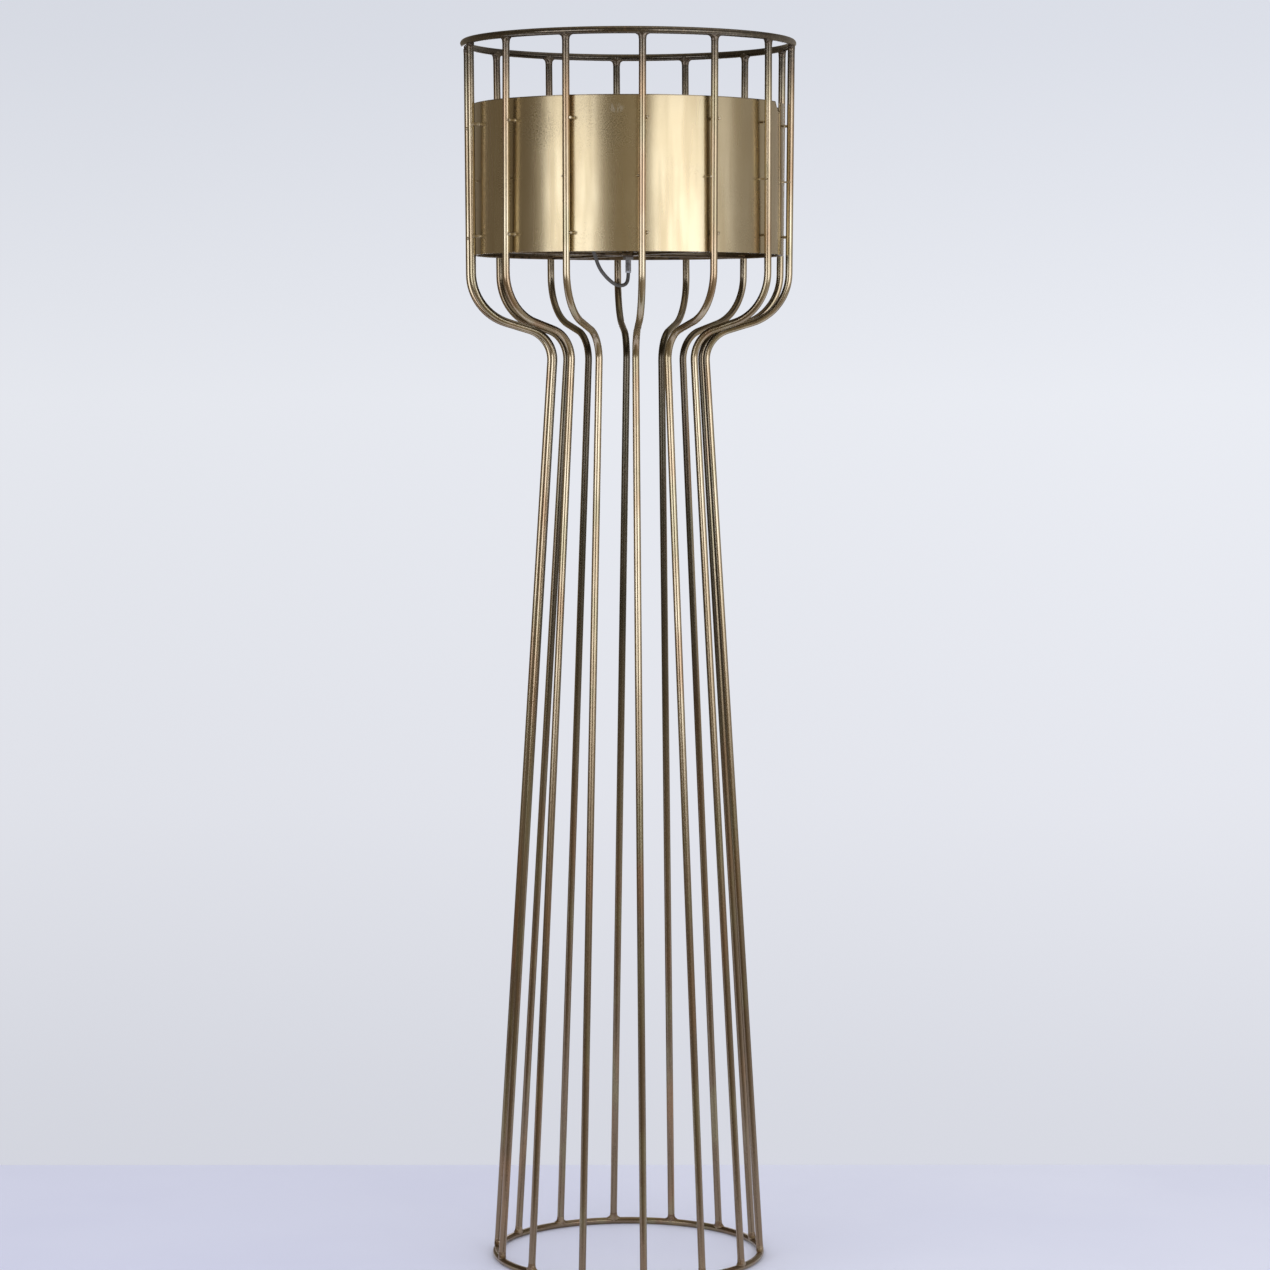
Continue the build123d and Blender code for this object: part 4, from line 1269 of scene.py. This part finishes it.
@dataclass
class Lampholder:
    """The brass lampholder over the hub, with the turn knob of its switch at one side."""

    shop: Workshop
    cap_low: float = 1424.7 * MM
    shell_r: float = 18.4 * MM
    top: float = 1490.0 * MM
    knob_angle: float = 70.0
    knob_height: float = 1449.0 * MM

    def build(self) -> None:
        """Builds the cap, the shell and the switch's knob."""
        low = self.cap_low
        cap = Bench.turned("holder_cap", raised(
            low, (4.3, 0), (7.5, 0), (8.5, 2.0), (12.5, 4.2), (16.5, 7.4), (18.6, 10.0), (19.5, 13.0),
            (19.5, 19.6), (20.0, 20.4), (20.0, 21.6), (19.5, 22.0), (18.5, 22.0), (18.5, 13.0), (15.8, 8.2),
            (7.5, 3.6), (4.3, 3.6), (4.3, 0),
        ), 96, 0.25 * MM)
        self.drill(cap, 2.5 * MM)
        self.shop.deliver(cap, "lampholder_brass", "lampholder_cap")

        outer, inner = self.shell_r, self.shell_r - 0.8 * MM
        bead, lip = outer + 0.5 * MM, outer + 0.9 * MM
        shell_low, top = low + 13.5 * MM, self.top
        outline = [(outer, shell_low), (outer, low + 27 * MM)]
        for k in range(3):
            foot = low + (28 + 3.2 * k) * MM
            outline += [
                (outer, foot), (bead, foot + 0.8 * MM), (bead, foot + 1.4 * MM), (outer, foot + 2.2 * MM),
            ]
        outline += [
            (outer, top - 2.0 * MM), (lip, top - 1.4 * MM), (lip, top - 0.3 * MM), (bead, top),
            (inner, top), (inner, shell_low), (outer, shell_low),
        ]
        shell = Bench.turned("holder_shell", outline, 96, 0.2 * MM)
        self.drill(shell, 1.6 * MM)
        self.shop.deliver(shell, "lampholder_brass", "lampholder_shell")
        self.build_knob()

    def drill(self, piece: bpy.types.Object, radius: float) -> None:
        """Drills the hole of the switch's spindle through one wall of a piece."""
        out = around(self.knob_angle, 1)
        start = around(self.knob_angle, 10 * MM, self.knob_height)
        drill = Bench.disc("drill", radius, start, out, 24)
        Bench.extrude(out * 20 * MM)
        Bench.close(drill)
        Bench.modify(piece, "BOOLEAN", operation="DIFFERENCE", object=drill, solver="EXACT")
        bpy.data.objects.remove(drill)
        Bench.smooth(piece)

    def build_knob(self) -> None:
        """Builds the knob as a round collar with a flat paddle, on its steel spindle."""
        out = -Vector((0, 1, 0))
        centre = Vector((0, 0, self.knob_height))
        turn = Matrix.Rotation(math.radians(self.knob_angle), 4, "Z")
        collar = Bench.disc("knob_collar", 4.4 * MM, centre + out * 24.0 * MM, out, 40)
        for along, factor in ((0.6, 5.0 / 4.4), (3.4, 1.0), (0.7, 0.92), (0.3, 0.8)):
            Bench.extrude(out * along * MM)
            Bench.scale((factor, 1, factor), Bench.centre())
        Bench.close(collar)
        Bench.soften(collar, 0.2 * MM)
        paddle = Bench.block("knob_paddle", (3.9 * MM, 11.5 * MM, 12.4 * MM), centre + out * 34.2 * MM)
        Bench.pick(Pick.FACES, lambda face: face.normal.y > 0.9)
        Bench.scale((1.0, 1.0, 0.66), centre + out * 28.45 * MM)
        Bench.pick(Pick.FACES, lambda face: face.normal.y < -0.9)
        Bench.scale((0.72, 1.0, 1.0), centre + out * 39.95 * MM)
        Bench.close(paddle)
        Bench.soften(paddle, 1.1 * MM, 4)
        knob = Bench.join([collar, paddle], "turn_knob")
        knob.data.transform(turn)
        self.shop.deliver(knob, "black_plastic", "switch_knob", body="knob")
        spindle = Bench.disc("knob_spindle", 1.5 * MM, centre + out * 9 * MM, out, 24)
        Bench.extrude(out * 25 * MM)
        Bench.close(spindle)
        Bench.soften(spindle, 0.3 * MM)
        spindle.data.transform(turn)
        self.shop.deliver(spindle, "zinc_steel", "switch_spindle", body="knob")


@dataclass
class Bulb:
    """The round clear bulb with its screw cap and four filament sticks."""

    shop: Workshop
    tip: float = 1459.2 * MM
    cap_r: float = 13.0 * MM
    ball_r: float = 30.0 * MM
    top: float = 1564.0 * MM
    wall: float = 0.9 * MM

    def build(self) -> None:
        """Builds the contact, the insulator, the cap, the glass and the filaments."""
        contact = Bench.turned("bulb_tip_contact", raised(
            self.tip, (0, 0), (2.4, 0), (3.8, 0.5), (3.8, 1.0), (0, 1.0),
        ), 40, 0.15 * MM)
        self.shop.deliver(contact, "bulb_metal", "bulb_contact", body="bulb")
        insulator = Bench.turned("bulb_tip_insulator", raised(
            self.tip, (0, 1.0), (4.6, 1.0), (10.4, 4.4), (10.4, 5.0), (0, 5.0),
        ), 64, 0.2 * MM)
        self.shop.deliver(insulator, "bulb_insulator", "bulb_insulator", body="bulb")
        self.build_cap()
        self.build_glass()
        self.build_filaments()

    def build_cap(self) -> None:
        """Builds the cap: a rolled thread between a plain collar and a tapered end."""
        low, high = self.tip + 5.0 * MM, self.tip + 25.0 * MM
        pitch, depth = 3.6 * MM, 0.75 * MM
        crest, steps = self.cap_r - 0.05 * MM, 8
        thread = []
        for k in range(steps + 1):
            wave = math.cos(math.tau * k / steps)
            thread.append((crest - depth / 2 * (1 - wave), pitch * k / steps))
        rolled = Bench.threaded("cap_thread", thread, pitch, low + 1.2 * MM, high - 4.2 * MM)
        end = Bench.turned("cap_end", raised(
            low, (10.0, 0), (12.0, 1.3), (9.0, 1.3), (9.0, 0), (10.0, 0),
        ), 72, 0.1 * MM)
        collar = Bench.turned("cap_collar", raised(
            high, (9.0, -4.3), (12.5, -4.3), (12.95, -3.6), (12.95, -0.4), (12.6, 0), (11.9, 0),
            (9.0, -1.0), (9.0, -4.3),
        ), 72, 0.15 * MM)
        cap = Bench.join([rolled, end, collar], "bulb_cap_thread")
        self.shop.deliver(cap, "bulb_metal", "bulb_screw_cap", body="bulb")

    def build_glass(self) -> None:
        """Blows the glass: a ball on a neck, with a thin wall."""
        outer = self.glass_line(0.0)
        inner = self.glass_line(self.wall)
        glass = Bench.turned("bulb_ball", [*outer, *reversed(inner), outer[0]], 96)
        self.shop.deliver(glass, "bulb_glass", "bulb_glass", body="bulb")

    def glass_line(self, inset: float) -> list[tuple[float, float]]:
        """The glass's half outline from its mouth to its crown, so far inside the surface."""
        centre = self.top - self.ball_r
        radius = self.ball_r - inset
        mouth_r = self.cap_r - 0.4 * MM - inset
        neck_low = self.tip + 25.2 * MM
        leave = math.radians(38)
        join_r, join_z = radius * math.sin(leave), centre - radius * math.cos(leave)
        points = []
        for k in range(7):
            share = k / 7
            ease = (share * share * (3 - 2 * share)) ** 1.25
            points.append((mouth_r + (join_r - mouth_r) * ease, neck_low + (join_z - neck_low) * share))
        steps = 34
        for k in range(steps + 1):
            turn = leave + (math.pi - leave) * k / steps
            points.append((radius * math.sin(turn) if k < steps else 0.0, centre - radius * math.cos(turn)))
        return points

    def build_filaments(self) -> None:
        """Builds the glass stem and the four filament sticks that lean out from it."""
        neck = self.tip + 25.2 * MM
        sticks = []
        for k in range(4):
            foot = around(90 * k, 3 * MM, neck + 18 * MM)
            head = around(90 * k, 9 * MM, neck + 54 * MM)
            stick = Bench.disc("stick", 0.35 * MM, foot, head - foot, 12)
            run = (head - foot) / 12
            for along, width in ((0.9, 1.0), (0.25, 2.5), (9.7, 1.0), (0.25, 0.4), (0.9, 1.0)):
                Bench.extrude(run * along)
                Bench.scale((width,) * 3, Bench.centre())
            sticks.append(Bench.close(stick, 60))
        stem = Bench.turned("stem", raised(
            neck, (0, 1.5), (4.0, 1.5), (2.6, 8), (2.4, 15), (3.6, 17.4), (0, 18.2),
        ), 32, 0.4 * MM)
        filaments = Bench.join([*sticks, stem], "bulb_filament_sticks")
        self.shop.deliver(filaments, "filament", "bulb_filaments", body="bulb")


# ---- Mains lead ----
@dataclass
class MainsLead:
    """The lead: out of the nipple, up into the shade, wound in a tied coil, and its plug."""

    shop: Workshop
    lead_r: float = 2.6 * MM
    length: float = 2.321
    exit: tuple[float, float, float] = (0.0, 0.0, 1396.5 * MM)
    arm_angle: float = -50.5
    coil_radial: float = 165.0 * MM
    mean_r: float = 28.6 * MM
    pitch: float = 6.6 * MM
    rise: float = 6.0 * MM
    layers: int = 4
    layer_half_turns: int = 6
    half_turns: float = 22.5
    start: float = -60.0
    per_turn: int = 16
    floor_z: float = 1426.4 * MM
    plug_thick: float = 13.7 * MM
    plug_length: float = 36.0 * MM
    relief_length: float = 22.0 * MM
    plug_lift: float = 2.2 * MM
    plug_side: float = 48.0 * MM
    plug_back: float = 24.0 * MM
    plug_run: float = 18.0 * MM
    route: tuple[tuple[float, float, float], ...] = (
        (0.0, 0.0, 1396.5), (0.0, 0.0, 1385.6), (-5.5, -9.5, 1378.6), (-17.5, -30.5, 1378.6),
        (-29.5, -51.0, 1388.0), (-40.5, -70.0, 1401.5), (-47.0, -81.5, 1421.5), (-53.5, -94.0, 1439.5),
        (-69.0, -108.0, 1445.5), (-82.0, -119.0, 1431.0),
    )
    tail: tuple[tuple[float, float, float], ...] = (
        (15.0, 0.0, 0.0), (29.0, -1.5, 0.6), (43.5, 2.0, 2.2), (55.5, 15.5, 5.0), (56.0, 34.0, 8.4),
    )

    @property
    def middle(self) -> Vector:
        """The coil's middle, out along its arm."""
        return around(self.arm_angle, self.coil_radial)

    def coil_point(self, half_turns: float, grow: float = 1.0) -> Vector:
        """Where the coil is after so many half turns.

        Args:
            half_turns: how far along the coil.
            grow: how much further out a spline's own point lies than its line.

        Returns:
            The point.
        """
        spiral_half_turns = self.layer_half_turns - 1
        layer = min(int(half_turns // self.layer_half_turns), self.layers - 1)
        done = half_turns - layer * self.layer_half_turns
        spiral = min(done, spiral_half_turns) / spiral_half_turns
        climb = max(done - spiral_half_turns, 0.0)
        climb = climb * climb * (3 - 2 * climb)
        half_span = spiral_half_turns * self.pitch / 4
        swing = half_span * (1 - 2 * spiral)
        radius = (self.mean_r + (swing if layer % 2 == 0 else -swing)) * grow
        turn = math.radians(self.start - 180 * half_turns)
        out = Vector((math.cos(turn), math.sin(turn), 0))
        return self.middle + out * radius + UP * (self.floor_z + self.rise * (layer + climb))

    def coil_heading(self, half_turns: float) -> Vector:
        """The level direction in which the coil runs."""
        step = 0.002
        ahead = self.coil_point(min(half_turns + step, self.half_turns))
        way = ahead - self.coil_point(max(half_turns - step, 0))
        way.z = 0
        return way.normalized()

    def line(self) -> list[Vector]:
        """The points of the lead's spline, from the nipple to the plug."""
        thick = 2 * self.lead_r
        free = [Vector(place) * MM for place in self.route]
        heading = self.coil_heading(0)
        meet = self.coil_point(0) - heading * thick
        free += [meet - heading * 13 * MM, meet]
        grow = 1 / math.cos(math.pi / self.per_turn)
        count = int(self.half_turns * self.per_turn / 2)
        coil = [self.coil_point(2 * k / self.per_turn, grow) for k in range(1, count)]
        rear, heading, right, last = self.plug_place()
        tail = [last + heading * thick]
        for along, across, rise in self.tail:
            tail.append(last + heading * along * MM + right * across * MM + UP * rise * MM)
        tail += [rear + heading * self.plug_run, rear]
        return free + coil + tail

    def plug_place(self) -> tuple[Vector, Vector, Vector, Vector]:
        """The relief's rear, the coil's last heading, the way to its right, and its last point."""
        last = self.coil_point(self.half_turns)
        heading = self.coil_heading(self.half_turns)
        right = heading.cross(UP)
        level = (self.layers - 1) * self.rise + self.lead_r + self.plug_lift + self.plug_thick / 2
        rear = last + heading * self.plug_back + right * self.plug_side
        rear.z = self.floor_z + level
        return rear, heading, right, last

    def build(self) -> None:
        plug_pieces = self.build_plug()
        tie = self.build_tie()
        self.build_lead()

    def build_lead(self) -> None:
        """Lays the lead along one smooth spline."""
        points = self.line()
        curve = bpy.data.curves.new("mains_lead", "CURVE")
        curve.dimensions = "3D"
        spline = curve.splines.new("NURBS")
        spline.points.add(len(points) - 1)
        for knot, place in zip(spline.points, points):
            knot.co = (*place, 1)
        spline.order_u = 3
        spline.use_endpoint_u = True
        spline.resolution_u = 6
        curve.bevel_depth = self.lead_r
        curve.bevel_resolution = 5
        curve.use_fill_caps = True
        lead = bpy.data.objects.new("mains_lead", curve)
        bpy.context.scene.collection.objects.link(lead)
        self.shop.deliver(lead, "lead_sheath", "lead_free", "lead_coil", "lead_tail")

    def build_plug(self) -> list[bpy.types.Object]:
        """Builds the plug along +Z at the origin, then puts it on the coil."""
        relief = self.build_relief()
        front = self.relief_length + self.plug_length
        rear = (20 * MM, self.plug_thick - 1 * MM, 2 * MM)
        body = Bench.block("flat_plug", rear, UP * (self.relief_length + 1 * MM))
        Bench.pick(Pick.FACES, lambda face: face.normal.z > 0.9)
        place = self.relief_length + 2 * MM
        for along, wide, deep in (
            (6, 27 / 20, 1.04), (8, 33.5 / 27, 1.03), (8, 35 / 33.5, 1.0), (10, 0.985, 1.0),
            (2, 0.95, 0.95),
        ):
            Bench.extrude(UP * along * MM)
            place += along * MM
            Bench.scale((wide, deep, 1), (0, 0, place))
        Bench.close(body)
        Bench.soften(body, 4.0 * MM, 5)
        pins = []
        for side in (-1, 1):
            foot = Vector((side * 9.3 * MM, 0, front - 8 * MM))
            pin = Bench.disc("pin", 2.0 * MM, foot, UP, 28)
            for along, width, height in ((26.0, 1.0, 26.0), (0.7, 0.82, 26.7), (0.3, 0.6, 27.0)):
                Bench.extrude(UP * along * MM)
                Bench.scale((width, width, 1), foot + UP * height * MM)
            pins.append(Bench.close(pin, 50))
        pin_pair = Bench.join(pins, "plug_pin_pair")
        rear, heading, _, _ = self.plug_place()
        ahead = -heading
        side = UP.cross(ahead)
        turn = Matrix((side, ahead.cross(side), ahead)).transposed().to_4x4()
        for piece in (relief, body, pin_pair):
            piece.data.transform(Matrix.Translation(rear) @ turn)
        self.shop.deliver(relief, "lead_sheath", "plug_relief")
        self.shop.deliver(body, "lead_sheath", "plug_body")
        self.shop.deliver(pin_pair, "lampholder_brass", "plug_pins")
        return [relief, body, pin_pair]

    def build_relief(self) -> bpy.types.Object:
        """Builds the ribbed strain relief, round at its rear and flat where it meets the plug."""
        radius = 3.5 * MM
        relief = Bench.disc("ribbed_relief", radius, Vector((0, 0, 0)), UP, 32)
        wide = deep = radius
        rings = 6
        rib = self.relief_length / rings
        for k in range(rings):
            share = (k + 1) / rings
            full = (radius + (6.5 * MM - radius) * share, radius + (5.1 * MM - radius) * share)
            groove = (full[0] - 0.7 * MM, full[1] - 0.7 * MM)
            for along, target in ((0.60, full), (0.06, groove), (0.28, groove), (0.06, full)):
                Bench.extrude(UP * rib * along)
                shell = bmesh.from_edit_mesh(relief.data)
                height = max(vert.co.z for vert in shell.verts)
                Bench.scale((target[0] / wide, target[1] / deep, 1), (0, 0, height))
                wide, deep = target
        Bench.close(relief)
        Bench.soften(relief, 0.15 * MM)
        return relief

    def build_tie(self) -> bpy.types.Object:
        """Builds the strap round the turns: a flat band led round four corners."""
        slack, thick, width = 0.9 * MM, 1.0 * MM, 10.0 * MM
        half_span = (self.layer_half_turns - 1) * self.pitch / 4
        away = around(self.arm_angle - 90, 1)
        level = self.floor_z + (self.layers - 1) * self.rise / 2
        half_wide = half_span + self.lead_r + slack + thick / 2
        half_high = (self.layers - 1) * self.rise / 2 + self.lead_r + slack + thick / 2
        corner = slack + thick / 2
        normal = away.cross(UP)
        centre = self.middle + away * self.mean_r + UP * level
        Bench.clear()
        bpy.ops.mesh.primitive_plane_add(size=1, location=(0, 0, 0))
        bpy.context.object.scale = (thick, width, 1)
        strap = Bench.open("coil_strap")
        start = centre + away * half_wide
        bpy.ops.object.mode_set(mode="OBJECT")
        strap.data.transform(Matrix.Translation(start) @ Matrix((away, normal, UP)).transposed().to_4x4())
        bpy.ops.object.mode_set(mode="EDIT")
        bpy.ops.mesh.select_all(action="SELECT")
        way, side = UP.copy(), -away
        run = half_high - corner
        for k in range(4):
            Bench.extrude(way * run)
            Bench.bend(math.pi / 2, Bench.centre() + side * corner, way.cross(side), 6)
            way, side = side, -way
            run = 2 * ((half_wide if k % 2 == 0 else half_high) - corner)
        Bench.extrude(way * (half_high - corner) * 0.995)
        Bench.close(strap)
        Bench.soften(strap, 0.2 * MM)
        return self.shop.deliver(strap, "tie_strap", "coil_tie")


# ---- Studio ----
@dataclass(frozen=True)
class SoftBox:
    """A soft lamp: its angle from the front, how wide it looks from the axis, and its brightness."""

    name: str
    azimuth: float
    spread: float
    glow: float
    distance: float = 3.2
    height: float = 1.36
    tall: float = 1.22
    tint: Colour = (0.92, 0.97, 1.14)

    def light(self) -> None:
        """Puts the lamp up."""
        lamp = bpy.data.lights.new(self.name, "AREA")
        lamp.shape = "RECTANGLE"
        width = 2 * self.distance * math.tan(math.radians(self.spread / 2))
        lamp.size, lamp.size_y = width, self.tall
        lamp.energy = self.glow * math.pi * width * self.tall
        lamp.color = self.tint
        stand = bpy.data.objects.new(self.name, lamp)
        stand.location = around(self.azimuth, self.distance, self.height)
        stand.rotation_euler = around(self.azimuth, -1).to_track_quat("-Z", "Y").to_euler()
        stand.visible_camera = False
        bpy.context.scene.collection.objects.link(stand)


@dataclass
class Studio:
    """The camera, the pale floor, the backdrop and the soft lamps."""

    eye: tuple[float, float, float] = (0.0, -5.3134, 1.26425)
    pitch: float = -4.064
    yaw: float = 0.102
    lens: float = 106.77
    floor_edge: float = 0.598
    floor_wide: float = 7.0
    # The floor's sheets from the back: name, depth, and whether the brass mirrors them.
    floor: tuple[tuple[str, float, bool], ...] = (
        ("studio_floor", 1.25, True), ("studio_floor_front", 2.75, False),
    )
    # Floor tones from left to right: the lighter right is painted light.
    floor_tones: tuple[Colour, Colour] = ((0.74, 0.75, 0.885), (0.83, 0.84, 0.94))
    # The backdrop from low to high: share of the way from straight down to straight up, and colour.
    heights: Stops = (
        (0.385, (0.675, 0.69, 0.76)), (0.405, (0.70, 0.715, 0.78)), (0.443, (0.785, 0.80, 0.86)),
        (0.496, (0.825, 0.845, 0.90)), (0.545, (0.715, 0.74, 0.81)),
    )
    # From left to right.
    widths: Stops = ((0.43, (0.95, 0.95, 0.95)), (0.57, (1.0, 1.0, 1.0)))
    # The room that gloss meets in front: darker on the left, darker above, with a pale ceiling.
    room_widths: Stops = (
        (0.0, (0.165, 0.135, 0.10)), (0.35, (0.18, 0.15, 0.11)), (0.5, (0.27, 0.225, 0.16)),
        (0.75, (0.33, 0.30, 0.27)), (1.0, (0.37, 0.345, 0.33)),
    )
    room_heights: Stops = (
        (0.40, (1.0, 1.0, 1.0)), (0.60, (0.9, 0.9, 0.9)), (0.78, (0.45, 0.45, 0.45)),
        (0.95, (1.9, 2.0, 2.2)),
    )
    ambient: Colour = (0.74, 0.745, 0.775)
    # How far back gloss begins to meet the backdrop, and where it meets nothing else.
    backdrop_starts: tuple[float, float] = (0.985, 0.9995)
    boxes: tuple[SoftBox, ...] = (
        SoftBox("left_softbox", -41, 40, 1.95),
        SoftBox("right_softbox", 35.5, 38, 1.95),
        SoftBox("side_softbox", 67, 26, 0.58),
        SoftBox("back_softbox", 180, 24, 1.2),
    )

    def build(self) -> None:
        """Sets the stage up."""
        self.place_camera()
        self.lay_floor()
        self.light_world()
        for box in self.boxes:
            box.light()
        bpy.context.scene.view_settings.view_transform = "Standard"

    def place_camera(self) -> None:
        """Stands the camera where the photograph was taken from."""
        camera = bpy.data.cameras.new("camera")
        camera.lens, camera.sensor_width = self.lens, 36.0
        camera.clip_start, camera.clip_end = 0.1, 100.0
        stand = bpy.data.objects.new("camera", camera)
        stand.location = self.eye
        stand.rotation_euler = (math.radians(90 + self.pitch), 0, math.radians(-self.yaw))
        bpy.context.scene.collection.objects.link(stand)
        bpy.context.scene.camera = stand

    def lay_floor(self) -> None:
        """Lays the floor, which ends a short way behind the lamp, where the backdrop begins.

        The brass doesn't mirror its front sheet: the photographed room is dim there.
        """
        mix = Recipe("floor_paper")
        cloud = mix.noise(1.6, 4)
        x, _, _ = mix.parts()
        # Lighter towards +X is painted light; the clouds are the paper's own.
        share = mix.maths("ADD", mix.step(x, -0.6, 0.6, 0.0, 0.7), mix.step(cloud, 0.35, 0.65, 0.0, 0.3))
        paper = mix.finish(
            Base_Color=mix.blend(share, *self.floor_tones), Roughness=0.85, Specular_IOR_Level=0.2,
            Normal=mix.relief(mix.noise(5, 3), 1.5 * MM),
        )
        back = self.floor_edge
        for name, deep, mirrored in self.floor:
            Bench.clear()
            bpy.ops.mesh.primitive_plane_add(size=1, location=(0, back - deep / 2, 0))
            bpy.context.object.scale = (self.floor_wide, deep, 1)
            floor = Bench.open(name)
            Bench.close(floor, outward=False)
            floor.visible_glossy = mirrored
            floor.data.materials.append(paper)
            back -= deep

    def light_world(self) -> None:
        """Paints the backdrop, and the dimmer room that only gloss picks up."""
        mix = Recipe("studio", world=True)
        bpy.context.scene.world = mix.owner
        x, y, z = mix.parts()
        backdrop = mix.blend(1.0, mix.ramp(z, self.heights), mix.ramp(x, self.widths), "MULTIPLY")
        room = mix.blend(1.0, mix.ramp(x, self.room_widths), mix.ramp(z, self.room_heights), "MULTIPLY")
        gloss_meets = mix.blend(mix.step(y, *self.backdrop_starts), room, backdrop)
        path = mix.node("LightPath", {}).outputs
        seen = mix.maths("MAXIMUM", path["Is Camera Ray"], path["Is Transmission Ray"])
        shades = [
            mix.node("Background", {}, Color=colour).outputs[0]
            for colour in (self.ambient, gloss_meets, backdrop)
        ]
        unseen = self.either(mix, path["Is Glossy Ray"], shades[0], shades[1])
        mix.feed(mix.output, self.either(mix, seen, unseen, shades[2]))

    @staticmethod
    def either(mix: Recipe, share: Socket, first: Socket, second: Socket) -> Socket:
        """Goes from one shade of the world to another by a share."""
        node = mix.nodes.new("ShaderNodeMixShader")
        for socket, value in zip(node.inputs, (share, first, second)):
            mix.feed(socket, value)
        return node.outputs[0]


def main() -> None:
    """Builds the lamp and its studio."""
    logging.basicConfig(level=logging.INFO, format="%(name)s: %(message)s")
    Studio().build()
    shop = Workshop(Finishes())
    shop.dress_nodes()
    cage = Cage(shop)
    parts = (cage, Shade(shop, cage), Spider(shop), Lampholder(shop), Bulb(shop), MainsLead(shop))
    for part in parts:
        part.build()
    LOG.info("%d pieces", len(shop.delivered))


if __name__ == "__main__":
    main()
